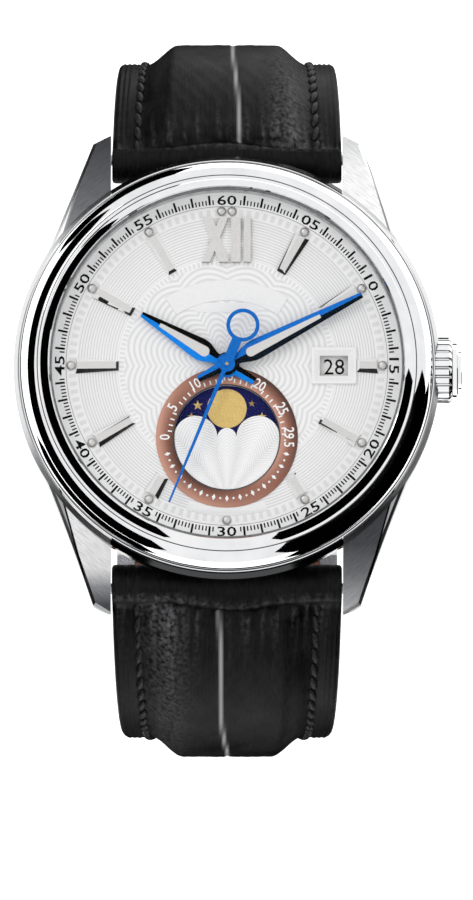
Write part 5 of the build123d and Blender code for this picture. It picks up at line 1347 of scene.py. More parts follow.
@dataclass
class Dial:
    """Dial, minute track, plaques, markers, moon display and date."""

    height: float = 6.9
    track: tuple[float, float] = (15.2, 16.58)
    tick_start: float = 15.41
    long_tick: float = 0.92
    short_tick: float = 0.46
    tick_widths: tuple[float, float] = (0.20, 0.125)
    numeral_radius: float = 15.81
    numeral_height: float = 0.94
    moon_centre: float = -6.84
    moon_window: float = 4.98
    moon_ring_top: float = 7.12
    moon_disc_top: float = 6.38
    moon_radius: float = 1.87
    moon_orbit: float = 2.82
    month: float = 29.5
    # words and the day that each stands at, two of them a little early
    moon_labels: tuple[tuple[str, float], ...] = (
        ("0", 0), ("5", 4.75), ("10", 9.78), ("15", 15), ("20", 20), ("25", 25), ("29.5", 29.5),
    )
    # radius, length and width of a day's tick, and radius and height of the ring's numerals
    moon_ticks: tuple[float, float, float] = (5.42, 0.40, 0.13)
    moon_numerals: tuple[float, float] = (5.88, 1.0)
    # radius, first and last angle and number of the lozenges, and length and width of both kinds
    lozenges: tuple[float, float, float, int] = (5.85, 196.0, 344.0, 25)
    lozenge_sizes: tuple[tuple[float, float], ...] = ((0.62, 0.34), (0.26, 0.26))
    # radius of the mask's humps, how far out they are, and radius of the middle one
    mask_humps: tuple[float, float, float] = (2.05, 2.95, 0.9)
    # how far the fan's foot is below the window, spacing and bow of its waves, folds in half a turn
    fan_foot: float = 0.9
    fan_pitch: float = 0.30
    fan_bow: float = 1.1
    fan_folds: float = 7.0
    # x, y from the ring's middle, and reach of each star
    stars: tuple[tuple[float, float, float], ...] = (
        (-2.75, 3.12, 0.50), (2.36, 3.30, 0.34), (-3.35, 2.04, 0.40), (3.32, 2.04, 0.46),
        (-4.30, 1.10, 0.30), (4.25, 1.30, 0.28),
    )
    # hour and inner end of each baton
    batons: tuple[tuple[int, float], ...] = (
        (1, 10.24), (2, 10.24), (3, 12.3), (4, 10.24), (5, 12.1), (7, 12.1), (8, 10.24),
        (9, 10.24), (10, 10.24), (11, 10.24),
    )
    baton_ends: tuple[float, float] = (10.24, 14.3)
    # half widths at both ends, insets at both ends, and height above the dial, from foot to top
    baton_loops: tuple[tuple[float, ...], ...] = (
        (0.45, 0.74, 0.0, 0.0, 0.0), (0.45, 0.74, 0.0, 0.0, 0.10),
        (0.30, 0.34, 0.25, 0.13, 0.46),
    )
    # the XII's foot and head, and how high it stands
    twelve_sizes: tuple[float, float, float] = (9.88, 14.17, 0.35)
    # x of head and foot, and half width of each stroke
    twelve_strokes: tuple[tuple[float, float, float], ...] = (
        (-1.845, -0.275, 0.485), (-0.26, -1.965, 0.385), (0.845, 0.845, 0.455),
        (1.93, 1.93, 0.33),
    )
    # how far out the dots sit, and half the way between the two at 12
    dot_reach: float = 14.74
    dot_spread: float = 0.5
    # radius and height of a dot's rings, from its foot
    dot_rings: tuple[tuple[float, float], ...] = (
        (0.45, -0.01), (0.45, 0.10), (0.41, 0.19), (0.32, 0.26), (0.20, 0.295), (0.07, 0.305),
    )
    date_radius: float = 10.15
    # length, height and top of the frame's loops, from its foot outside to its foot inside
    frame_loops: tuple[tuple[float, float, float], ...] = (
        (4.25, 3.50, 6.90), (4.25, 3.50, 7.21), (4.19, 3.44, 7.25), (3.66, 2.92, 7.25),
        (2.68, 1.94, 6.96), (2.64, 1.90, 6.90),
    )
    date_top: float = 6.08
    date_shown: int = 28
    days: int = 31

    def build(self, nodes: dict[str, bpy.types.Object]) -> None:
        """Dresses the dial's nodes and lays the fine pieces on them.

        Args:
            nodes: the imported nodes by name.
        """
        dress(nodes, EngineTurnedDial().material(), "dial")
        silvered = Enamel("silvered_brass_fine_matt", "#fafafa", "#e9e9e9", 0.5, 0.06, 0.003)
        black = Enamel("pad_print_ink_black", "#0c0c0c", "#040404", 0.6, 0.1, specular=0.1)
        white = Enamel("pad_print_ink_white", "#ffffff", "#f1f1f1", 0.5, 0.1)
        gold = Metal("gilt_brass_fine_blasted", "#ecd08a", "#cbab66", 0.42, Grain.BLASTED, 0.09)
        piece(
            "hour_markers_faceted", joined((self.faceted_batons(), self.twelve())),
            MarkerSteel().material(), "case", replaces=("hour_markers",),
            crease=12.0,
        )
        piece(
            "date_frame_bevelled", self.date_frame(), silvered.material(), "case",
            replaces=("date_frame",), crease=12.0,
        )
        granular = Metal("rhodium_plated_granular", "#dddcda", "#b9b7b5", 0.42, Grain.BLASTED, 0.07)
        piece(
            "hour_dots_domed", self.domed_dots(), granular.material(), "case",
            replaces=("hour_dots",),
        )
        dress(nodes, DomedCopper().material(), "moon_ring")
        navy = Enamel("lacquer_navy", "#10145c", "#0b0f50", 0.6, 0.3, 0.0, specular=0.15)
        dress(nodes, navy.material(), "moon_disc")
        day_disc = Enamel("lacquer_pale_grey_matt", "#f0f0ef", "#e4e4e3", 0.5, 0.08)
        dress(nodes, day_disc.material(), "date_disc")
        ink, paint, plain = black.material(), white.material(), silvered.material()
        bright = Enamel("lacquer_white_matt", "#ffffff", "#fafafa", 0.5, 0.06, 0.001).material()
        piece("minute_track", self.track_ring(), bright, "case")
        piece("minute_track_print", self.track_print(), ink, "case")
        grey_ink = Enamel("pad_print_ink_grey", "#a2a2a2", "#8e8e8e", 0.5, 0.1).material()
        piece("minute_track_border", self.track_border(), grey_ink, "case")
        piece("dial_plaques", self.plaques(), plain, "case")
        piece("moon_mask_fan", self.mask(), MaskSilver().material(), "case")
        piece("moon_ring_print", self.ring_print(), paint, "case")
        # a narrow dark grey rim at the window's edge
        dark_rim = Enamel("dark_grey_window_rim", "#3a3a3c", "#2c2c2e", 0.4)
        rim = self.ring_rim()
        piece("moon_window_rim", rim, dark_rim.material(), "case")
        gilt = gold.material()
        piece("gilt_moons", self.moons(), gilt, "moon")
        piece("gilt_stars", self.star_field(), gilt, "moon", crease=10.0)
        piece("date_numerals", self.numerals(), ink, "date")

    def track_ring(self) -> Shape:
        """The white ring under the minute marks, a flat band turned about Z.

        Returns:
            The closed ring.
        """
        inner, outer = self.track
        low, high = self.height - 0.01, self.height + 0.03
        profile = np.array([(inner, low), (outer, low), (outer, high), (inner + 0.03, high)])
        return turned_profile(profile, 240)

    def track_print(self) -> Shape:
        """Minute marks with four shorter ones between, and numerals every five minutes.

        Returns:
            All marks and numerals as one shape.
        """
        mark = np.arange(300)
        mark = mark[np.minimum(mark % 25, 25 - mark % 25) >= 4]
        minute = mark % 5 == 0
        length = np.where(minute, self.long_tick, self.short_tick)
        width = np.where(minute, *self.tick_widths)
        radius = self.tick_start + length / 2
        angle = math.pi / 2 - mark * TURN / 300
        shapes = [bars(radius, angle, length, width, self.height, self.height + 0.045)]
        for hour in range(12):
            words = f"{(hour * 5) or 60:02d}"
            figure = lettering(
                words, self.numeral_height, stretch=1.50, thickness=0.045, weight=0.012
            )
            if 4 <= hour <= 8:
                figure = figure.turned(180.0)
            figure = figure.moved(0.0, self.numeral_radius, self.height)
            shapes.append(figure.turned(-30.0 * hour))
        return joined(shapes)

    def track_border(self) -> Shape:
        """The fine grey line inside the minute track, a narrow band turned about Z."""
        inner, low, high = self.track[0], self.height, self.height + 0.036
        return turned_profile(rectangle(inner, inner + 0.05, low, high), 240)

    def plaques(self) -> Shape:
        """Three bare raised plaques: a bowed one and a straight one under 12, a low one above 6.

        Returns:
            All three as one shape.
        """
        low = self.height - 0.01
        bowed = plate(8.87, 10.86, 57.4, 122.6, low, self.height + 0.10, centre=-2.64)
        straight = rectangle(-3.05, 3.0, 5.12, 6.02)
        foot = plate(13.45, 14.32, 254.5, 285.5, low, self.height + 0.05)
        return joined((bowed, slab(straight, low, self.height + 0.05, 0.02), foot))

    def faceted_batons(self) -> Shape:
        """The batons: a narrow satin top with bevels that widen outwards.

        Returns:
            All batons as one shape.
        """
        side, far = np.array([-1.0, 1.0, 1.0, -1.0]), np.array([0, 0, 1, 1])
        shapes = []
        for hour, start in self.batons:
            loops = []
            for inner, outer, inner_inset, outer_inset, rise in self.baton_loops:
                ends = np.array([start + inner_inset, self.baton_ends[1] - outer_inset])
                half = np.interp(ends, self.baton_ends, (inner, outer))
                loops.append((spread(side * half[far], ends[far]), self.height + rise))
            shapes.append(stacked(loops).turned(-30.0 * hour))
        return joined(shapes)

    def twelve(self) -> Shape:
        """The XII: four thick strokes, two of them crossed.

        Returns:
            All strokes as one shape.
        """
        foot, head, rise = self.twelve_sizes
        side = np.array([-1.0, 1.0, 1.0, -1.0])
        y = np.array([foot, foot, head, head])
        shapes = []
        for number, (top_x, foot_x, half) in enumerate(self.twelve_strokes):
            x = np.where(y == head, top_x, foot_x) + side * half
            top = self.height + rise + 0.003 * number
            shapes.append(slab(spread(x, y), self.height - 0.01, top))
        return joined(shapes)

    def domed_dots(self) -> Shape:
        """The applied dots outside the markers, two side by side at 12.

        Returns:
            All dots as one shape.
        """
        ring = rays(round_steps(24))
        dot = stacked([(radius * ring, self.height + rise) for radius, rise in self.dot_rings])
        shapes = []
        for hour in range(12):
            for beside in (0.0,) if hour else (-self.dot_spread, self.dot_spread):
                shapes.append(dot.moved(beside, self.dot_reach).turned(-30.0 * hour))
        return joined(shapes)

    def mask(self) -> Shape:
        """The silver mask below the moon: a fan of small waves from the ring's foot.

        Height = base + depth * cos(turns of (reach - bow * fold) / pitch), where fold is a
        zigzag over the angle round the foot.

        Returns:
            The mask's upper face, with a mark of the light and shade painted on each point.
        """
        half = self.moon_window - 0.03
        x = np.linspace(-half, half, 201)
        side = arc(self.moon_window, x) - 0.02
        hump, hump_x, middle = self.mask_humps
        top = np.maximum(arc(hump, np.abs(x) - hump_x), arc(middle, x))
        share = np.linspace(0.0, 1.0, 121)[:, None]
        y = share * (np.minimum(top, side) + side) - side
        from_foot = y + self.moon_window + self.fan_foot
        fold = np.abs((np.arctan2(x, from_foot) * self.fan_folds / math.pi) % 1.0 - 0.5) * 2
        reach = np.hypot(x, from_foot) - self.fan_bow * fold
        wave = np.cos(TURN * reach / self.fan_pitch)
        height = self.height + 0.045 + 0.012 * wave + 0.03 * (fold - 0.5)
        shape = grid(spread(x, y + self.moon_centre, height))
        # painted light and shade: the tone is paler where the fan stands higher and greyer where it
        # is lower
        shape.marks["tone"] = (0.5 + 0.28 * wave + 0.3 * (fold - 0.5)).ravel()
        return shape

    def ring_print(self) -> Shape:
        """The moon's age in white: numerals, a tick a day, and a row of lozenges below.

        Returns:
            All of it as one shape.
        """
        top = self.moon_ring_top - 0.01
        day = np.arange(1, 30)
        angle = math.pi - day[day % 5 != 0] / self.month * math.pi
        radius, length, width = self.moon_ticks
        shapes = [bars(radius, angle, length, width, top - 0.12, top)]
        radius, size = self.moon_numerals
        for words, days in self.moon_labels:
            figure = lettering(words, size, stretch=0.84, thickness=0.04, weight=0.014)
            figure = figure.moved(0.0, radius, top)
            shapes.append(figure.turned(90.0 - days / self.month * 180.0))
        corner = np.array([(1.0, 0.0), (0.0, 1.0), (-1.0, 0.0), (0.0, -1.0)]) / 2
        radius, *sweep = self.lozenges
        for number, turn in enumerate(np.linspace(*sweep)):
            outline = corner * np.array(self.lozenge_sizes[number % 2])
            shapes.append(slab(outline, top, top + 0.04).moved(radius, 0.0).turned(turn))
        return joined(shapes).moved(0.0, self.moon_centre)

    def ring_rim(self) -> Shape:
        """A narrow dark rim round the moon's window, turned about the ring's middle.

        Returns:
            The closed rim.
        """
        inner, low, high = self.moon_window, self.height + 0.02, self.height + 0.12
        inside, outside = inner - 0.02, inner + 0.1
        loop = [(inside, low), (outside, low), (outside, high), (inside, high - 0.02)]
        return turned_profile(np.array(loop), 200).moved(0.0, self.moon_centre)

    def moons(self) -> Shape:
        """Two low domed moons on opposite sides of the disc.

        Returns:
            Both moons as one shape.
        """
        radius = self.moon_radius
        profile = np.array(
            [(0.001, 0.0), (radius, 0.0), (radius, 0.03), (radius * 0.9, 0.06), (0.001, 0.1)]
        )
        dome = turned_profile(profile, 96).moved(0.0, self.moon_orbit, self.moon_disc_top)
        both = joined((dome, dome.turned(180.0)))
        return both.moved(0.0, self.moon_centre)

    def star_field(self) -> Shape:
        """Five pointed stars with raised middles, the same on both halves of the disc.

        Returns:
            All stars as one shape.
        """
        here = np.arange(10)
        after = (here + 1) % 10
        reach = np.where(here % 2 == 0, 1.0, 0.42)
        tip = rays(round_steps(10) + math.pi / 2) * reach[:, None]
        faces = [
            np.column_stack((here, after, after + 10, here + 10)),
            np.column_stack((here + 10, after + 10, np.full(10, 20))), here[None, ::-1],
        ]
        shapes = []
        for x, y, size in self.stars:
            rim = tip * size
            points = np.concatenate((raised(rim, 0.0), raised(rim, 0.02), [[0.0, 0.0, 0.09]]))
            star = Shape(points, faces).moved(x, y, self.moon_disc_top)
            shapes += [star, star.turned(180.0)]
        return joined(shapes).moved(0.0, self.moon_centre)

    def date_frame(self) -> Shape:
        """The frame of the date window: rectangles of given sizes and heights, joined in turn.

        Returns:
            The closed frame.
        """
        corner = rectangle(-0.5, 0.5, -0.5, 0.5)
        loops = [raised(corner * np.array(size), top) for *size, top in self.frame_loops]
        return grid(np.stack(loops), around=True, along=True).moved(self.date_radius - 0.03, 0.0)

    def numerals(self) -> Shape:
        """The days of the month round the date disc, with the shown one at 3 o'clock.

        Returns:
            All numerals as one shape.
        """
        shapes = []
        for day in range(1, self.days + 1):
            figure = lettering(str(day), height=1.48, stretch=0.98, thickness=0.02)
            figure = figure.moved(self.date_radius, 0.0, self.date_top)
            shapes.append(figure.turned((day - self.date_shown) * 360.0 / self.days))
        return joined(shapes)


@dataclass(frozen=True)
class MaskSilver:
    """Silvered brass of the moon's mask, with painted light on the crests of its fan and painted
    shade in its hollows.
    """

    name: str = "silvered_brass_fan_cut"

    def material(self) -> bpy.types.Material:
        """Builds the finish from the piece's own tone mark.

        Returns:
            The material.
        """
        material, tree = new_tree(self.name)
        tone = add_node(tree, "Attribute", attribute_name="tone", out="Fac")
        # painted light and shade, from the tone mark
        colour = add_node(tree, "ValToRGB", tone, stops=((0.1, "#dadada"), (0.7, "#fbfbfb")))
        grain = add_node(tree, "TexNoise", named={"Vector": millimetres(tree), "Scale": 12.0})
        close(tree, colour, 0.1, 0.5, grain, 0.003)
        return material


@dataclass(frozen=True)
class MarkerSteel:
    """Rhodium plated markers: satin on top, mirror cut where the sides slope, with painted
    reflections on the sides.

    Args:
        name: the finish's name.
        dark_sides: directions that sides with a painted dark reflection face, in degrees, and how
            nearly they must.
        raggedness: how far the shards move the ends of the painted dark reflections.
    """

    name: str = "rhodium_plated_faceted"
    dark_sides: tuple[tuple[float, float], ...] = ((300.0, 0.42), (137.0, 0.78))
    raggedness: float = 0.4

    def material(self) -> bpy.types.Material:
        """Builds the finish: a leaning side is painted white or black, as a reflection, after its
        direction and shards.

        Returns:
            The material.
        """
        material, tree = new_tree(self.name)
        place = millimetres(tree)
        grain = add_node(tree, "TexNoise", named={"Vector": place, "Scale": 14.0})
        shards = add_node(tree, "TexNoise", named={"Vector": place, "Scale": 0.55, "Detail": 0.0})
        facing = add_node(tree, "TexCoord", out="Normal")
        upward = add_node(tree, "SeparateXYZ", facing, out="Z")
        flat = add_node(tree, "Math", upward, 0.95, operation="GREATER_THAN")
        dark: Any = 0.0
        for bearing, least in self.dark_sides:
            away = (math.cos(math.radians(bearing)), math.sin(math.radians(bearing)), 0.0)
            lean = add_node(tree, "VectorMath", facing, away, operation="DOT_PRODUCT", out="Value")
            lean = add_node(tree, "Math", shards, -self.raggedness, lean, operation="MULTIPLY_ADD")
            least -= self.raggedness / 2
            hit = add_node(tree, "Math", lean, least, operation="GREATER_THAN")
            dark = add_node(tree, "Math", hit, dark, operation="MAXIMUM")
        across = add_node(tree, "VectorMath", place, (1.0, 1.0, 0.0), operation="MULTIPLY")
        across = add_node(tree, "VectorMath", across, operation="NORMALIZE")
        outward = add_node(tree, "VectorMath", facing, across, operation="DOT_PRODUCT", out="Value")
        end = add_node(tree, "Math", outward, 0.5, operation="LESS_THAN")
        dark = add_node(tree, "Math", dark, end, operation="MULTIPLY")
        satin = add_node(tree, "ValToRGB", grain, stops=((0.3, "#c6c5c4"), (0.7, "#e0dfde")))
        # painted reflections: leaning sides are near white, and near black where they face a listed
        # direction
        sides = {0: dark, 6: linear("#fbfbfb"), 7: linear("#040404")}
        sides = add_node(tree, "Mix", named=sides, **COLOUR_MIX)
        colour = add_node(tree, "Mix", named={0: flat, 6: sides, 7: satin}, **COLOUR_MIX)
        metallic = add_node(tree, "MapRange", flat, 0.0, 1.0, 0.1, 1.0)
        rough = add_node(tree, "MapRange", flat, 0.0, 1.0, 0.5, 0.4)
        close(tree, colour, metallic, rough, grain, 0.002)
        return material


# ---------------------------------------------------------------- hands


@dataclass(frozen=True)
class Blade:
    """Sizes of a slotted, ridged hand.

    Args:
        angle: where it points, in degrees from +X.
        low: height of its underside.
        high: height of its ridge.
        stations: distances from its axis.
        halves: half widths at them.
        boss: radius round its axis.
        bore: radius of its hole.
        slot: start, end, and half widths at both.
    """

    angle: float
    low: float
    high: float
    stations: tuple[float, ...]
    halves: tuple[float, ...]
    boss: float
    bore: float
    slot: tuple[float, float, float, float]


HOUR_BLADE = Blade(
    angle=149.0, low=7.50, high=7.70, stations=(-3.04, -1.3, 0.0, 1.3, 1.9, 2.6, 3.2, 9.39),
    halves=(0.36, 0.50, 0.48, 0.52, 0.80, 1.06, 1.03, 0.25), boss=1.2, bore=0.95,
    slot=(2.0, 7.4, 0.50, 0.10),
)
MINUTE_BLADE = Blade(
    angle=27.4, low=7.95, high=8.15, stations=(-3.06, -1.3, 0.0, 1.3, 2.0, 2.85, 3.5, 14.39),
    halves=(0.30, 0.47, 0.45, 0.50, 0.78, 0.99, 0.96, 0.27), boss=1.04, bore=0.62,
    slot=(2.1, 9.95, 0.45, 0.10),
)


@dataclass
class Hands:
    """The hour, minute and seconds hands."""

    rise: float = 0.11
    step: float = 0.05

    def build(self, nodes: dict[str, bpy.types.Object]) -> None:
        """Makes the faceted hands over their packed blanks.

        Args:
            nodes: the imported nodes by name.
        """
        # the left facet of each hand gets the lit blue and the right facet a shaded copy: painted
        # light and shade
        for body, blade, upper, lower in (
            ("hour", HOUR_BLADE, BLUED_PAINTED_DEEP_SHADE, BLUED_PAINTED_LIGHT),
            ("minute", MINUTE_BLADE, BLUED_PAINTED_SHADE, BLUED_CLEAR),
        ):
            for words, side, finish, replaces in (
                ("left", 1.0, lower, (f"{body}_hand",)), ("right", -1.0, upper, ()),
            ):
                piece(
                    f"{body}_hand_{words}_facet", self.facet(blade, side), finish.material(),
                    body, replaces=replaces, crease=20.0,
                )
        dress(nodes, BLUED_CLEAR.material(), "seconds_hand")
        lume = Enamel("luminous_paste_matt", "#dedddb", "#d2d1cf", 0.7, 0.12, 0.01)
        dress(nodes, lume.material(), "hour_hand_insert", "minute_hand_insert")

    def facet(self, blade: Blade, side: float) -> Shape:
        """One half of a hand, from its ridge or slot out to its edge.

        The edge follows the half widths, or the boss where that is wider: the larger of
        width(x) and sqrt(boss^2 - x^2). The inner side follows the slot or the bore. The
        top falls from the ridge to the edge in a straight line.

        Args:
            blade: the hand's sizes.
            side: 1 for the left half, seen along the hand, and -1 for the right.

        Returns:
            The closed half, turned to where the hand points.
        """
        x = np.arange(blade.stations[0], blade.stations[-1] + self.step / 2, self.step)
        x = np.append(x[x < blade.stations[-1]], blade.stations[-1])
        edge = np.interp(x, blade.stations, blade.halves)
        smooth = np.convolve(np.pad(edge, 6, mode="edge"), np.ones(13) / 13, mode="valid")
        edge = np.where(x < blade.stations[-2] + 0.5, smooth, edge)
        edge = np.maximum(edge, arc(blade.boss, x))
        start, end, wide, narrow = blade.slot
        into = np.clip((x - start) / wide, 0.0, 1.0)
        slot = np.interp(x, (start, end), (wide, narrow)) * arc(1.0, 1 - into) * (x <= end)
        inner = np.minimum(np.maximum(slot, arc(blade.bore, x)), edge - 0.06)
        loop = (
            (side * inner, blade.low), (side * edge, blade.low),
            (side * edge, blade.high - self.rise),
            (side * inner, blade.high - self.rise / edge * inner),
        )
        points = np.stack([spread(x, y, z) for y, z in loop], axis=1)
        return closed_tube(points).turned(blade.angle)


# ---------------------------------------------------------------- strap


def smooth_step(value: np.ndarray, low: float, high: float) -> np.ndarray:
    """0 below low, 1 above high, and 3t^2 - 2t^3 between."""
    share = np.clip((value - low) / (high - low), 0.0, 1.0)
    return share * share * (3 - 2 * share)


def edge_fall(edge: np.ndarray, radius: float) -> np.ndarray:
    """How far a face falls at a rounded edge: radius - sqrt(radius^2 - (radius - edge)^2)."""
    return radius - arc(radius, np.clip(radius - edge, 0.0, radius))


def bell(value: np.ndarray, middle: float, width: float) -> np.ndarray:
    """A bump of height 1 round a middle: exp(-((value - middle) / width)^2)."""
    return np.exp(-(((value - middle) / width) ** 2))


@dataclass
class StrapHalf:
    """One half of the strap, from its spring bar down to the buckle.

    Args:
        name: its name in the pieces.
        side: 1 on the 12 o'clock side and -1 on the 6 o'clock side.
        runs: lengths along its middle line where its heading is known.
        headings: the headings there, in degrees.
        end: the length at its end.
        end_thickness: its thickness there.
        pointed: whether its end is a point.
        seam: x of the seam line, with its painted highlight, at the case and further down.
        crease_run: length at which the crease meets the border.
        dip: how far the crease bows away from the case in its middle.
        shine: x of the part with a painted sheen.
        bar_y: y of its spring bar, away from the middle.
        bar_z: z of the bar.
        case_half: half the width at the case.
        end_half: half the width at the buckle.
        taper_depth: how far down it has its end width.
        case_thickness: thickness at the case.
        lining_start: length at which the lining starts.
        lining_thickness: its thickness.
        edge_drop: how far the border lies under the padded middle.
        end_drop: the same where the padding has ended.
        pad_slope: distances from the edge between which the padding rises.
        outer_corner: radius of the outer face's edges.
        inner_corner: radius of the inner face's edges.
        point_length: length of a pointed end.
        stitch_inset: how far the stitches lie from the edge.
        stitch_pitch: spacing of the stitches.
    """

    name: str
    side: int
    runs: tuple[float, ...]
    headings: tuple[float, ...]
    end: float
    end_thickness: float
    pointed: bool
    seam: tuple[float, float]
    crease_run: float
    dip: float
    shine: float
    bar_y: float = 20.5
    bar_z: float = 1.05
    case_half: float = 10.9
    end_half: float = 9.0
    taper_depth: float = 41.0
    case_thickness: float = 4.6
    lining_start: float = 5.8
    lining_thickness: float = 0.8
    edge_drop: float = 1.75
    end_drop: float = 0.25
    pad_slope: tuple[float, float] = (2.7, 5.6)
    outer_corner: float = 0.45
    inner_corner: float = 0.3
    point_length: float = 6.0
    stitch_inset: float = 2.4
    stitch_pitch: float = 1.8

    def line(self, run: np.ndarray) -> tuple[np.ndarray, np.ndarray, np.ndarray]:
        """The middle line: its heading is even between the known ones, and its place their sum.

        Args:
            run: lengths along it.

        Returns:
            y, z and heading in radians at each.
        """
        fine = np.linspace(0.0, self.end, 4000)
        heading = np.radians(np.interp(fine, self.runs, self.headings))
        step = fine[1] - fine[0]
        middle = (heading[1:] + heading[:-1]) / 2
        y = self.bar_y + np.concatenate(([0.0], np.cumsum(np.cos(middle)) * step))
        z = self.bar_z + np.concatenate(([0.0], np.cumsum(np.sin(middle)) * step))
        return tuple(np.interp(run, fine, values) for values in (y, z, heading))

    def half_width(self, run: np.ndarray) -> np.ndarray:
        """Half the width: even tapering with depth, and a rounded point at a pointed end.

        Args:
            run: lengths along the strap.

        Returns:
            Half the width at each.
        """
        _, z, _ = self.line(run)
        share = np.clip((self.bar_z - z) / (self.bar_z + self.taper_depth), 0.0, 1.0)
        half = self.case_half + (self.end_half - self.case_half) * share
        if self.pointed:
            into = np.clip((run - self.end + self.point_length) / self.point_length, 0.0, 1.0)
            half = half * np.maximum(1 - into**2.0, 0.0004) ** 0.62
        return half

    def half_thickness(self, run: np.ndarray) -> np.ndarray:
        """Half the thickness, thinning evenly down to the last bend."""
        share = np.clip(run / self.runs[-2], 0.0, 1.0)
        return (self.case_thickness + (self.end_thickness - self.case_thickness) * share) / 2

    def outer(self, run: np.ndarray, x: np.ndarray, half: np.ndarray) -> np.ndarray:
        """How far the outer face stands off the middle line.

        A padded middle falls to a flat stitched border; a crease crosses it near the case,
        with short wrinkles after it; fine ridges run along the border's edge; a shallow
        seam runs down the middle.

        Args:
            run: length along the strap.
            x: place across it.
            half: half the width there.

        Returns:
            The offset of each point.
        """
        edge = half - np.abs(x)
        after = smooth_step(run, self.crease_run - 0.3, self.crease_run + 0.9)
        fade = 1 - smooth_step(run, 30.0, self.runs[-2])
        drop = (self.end_drop + (self.edge_drop - self.end_drop) * fade) * after
        pad = smooth_step(edge, *self.pad_slope)
        bow = 0.12 * (1 - (x / half) ** 2)
        height = self.half_thickness(run) - drop * (1 - pad) - bow.max() + bow
        crease = self.crease(x)
        height -= 0.75 * bell(run, crease, 0.42)
        height += 0.10 * bell(run, crease + 1.3, 0.7) * pad
        height += 0.07 * self.wrinkles(run, x)
        height += 0.05 * self.pleats(x) * bell(run, crease - 0.8, 0.5)
        height += 0.03 * np.sin(x * 3.1 + 0.7 * run) * np.sin(run * 1.9 + x) * pad * after
        height -= 0.16 * bell(edge, self.stitch_inset, 0.5) * after
        rim = (edge < 1.8) & (edge > 0.25)
        height += 0.045 * np.cos(TURN * edge / 0.46) * rim * after
        height -= 0.14 * bell(x, self.seam_line(run), 0.16) * after * fade
        return height - edge_fall(edge, self.outer_corner)

    def crease(self, x: np.ndarray) -> np.ndarray:
        """Length along the strap at which the crease crosses each x."""
        return self.crease_run + self.dip * bell(x, -self.side * 0.6, 4.2)

    @staticmethod
    def pleats(x: np.ndarray) -> np.ndarray:
        """Uneven waves across the strap: a sine of a bent x."""
        return np.sin(x * 5.3 + np.sin(x * 2.1))

    def wrinkles(self, run: np.ndarray, x: np.ndarray) -> np.ndarray:
        """Short lengthwise wrinkles after the crease: two sines across that die out.

        Args:
            run: length along the strap.
            x: place across it.

        Returns:
            A height between -1.6 and 1.6.
        """
        past = run - self.crease(x)
        waves = np.sin(x * 4.3 + 1.2 * np.sin(x * 1.7)) + 0.6 * np.sin(x * 9.1 + run * 0.8)
        return waves * np.exp(-np.clip(past, 0.0, None) / 2.4) * smooth_step(past, 0.0, 0.5)

    def wear(self, run: np.ndarray, x: np.ndarray) -> np.ndarray:
        """How much sheen is painted, from 0 to 1: on the wrinkles' crests, on a side, and on folds
        before the crease.

        Args:
            run: length along the strap.
            x: place across it.

        Returns:
            0 where no sheen is painted and 1 where it is full.
        """
        past = run - self.crease(x)
        after = np.clip(past, 0.0, None)
        # painted sheen: a pale side after the crease, and pale folds before it
        shine = bell(x, self.shine, 1.9) * (0.25 + 0.45 * np.exp(-after / 6.0)) * (past > 0)
        folds = bell(past, -0.75, 0.45) * (0.35 + 0.25 * self.pleats(x))
        folds = folds * (0.45 + 0.55 * bell(x, self.shine, 4.0))
        return np.clip(0.30 * self.wrinkles(run, x) + shine + folds, 0.0, 1.0)

    def seam_line(self, run: np.ndarray) -> np.ndarray:
        """x of the seam line, with its painted highlight, along the strap's middle."""
        near, far = self.seam
        return near + (far - near) * np.clip(run / 20.0, 0.0, 1.5) + 0.12 * np.sin(run * 0.35)

    def inner(self, run: np.ndarray, lining: bool) -> np.ndarray:
        """Offset of the leather's inner face, which makes room for the lining after its start.

        Args:
            run: lengths along the strap.
            lining: whether it is the lining's own inner face.

        Returns:
            The offset at each, below 0.
        """
        low = -self.half_thickness(run)
        if lining:
            return low
        room = smooth_step(run, self.lining_start, self.lining_start + 0.3)
        return low + self.lining_thickness * room

    def surface(self, lining: bool) -> Shape:
        """The leather, or the lining under it, as one closed surface.

        Rows go along the outer face to the case, round the bar and back along the inner
        face; columns go across. Each point is the middle line moved along its normal.

        Args:
            lining: whether this is the lining.

        Returns:
            The surface, with its map in millimetres and marks of the seam's painted highlight and
            of the painted sheen.
        """
        start = self.lining_start if lining else 0.0
        # rows lie closer near the case
        run = np.concatenate((np.arange(start, 12.0, 0.28), np.linspace(12.0, self.end, 110)))
        if self.pointed:
            tip = self.end - self.point_length * (1 - np.linspace(0.0, 1.0, 24) ** 0.5)
            run = np.concatenate((run[run < tip[0] - 0.3], tip))
        run = run[:, None]
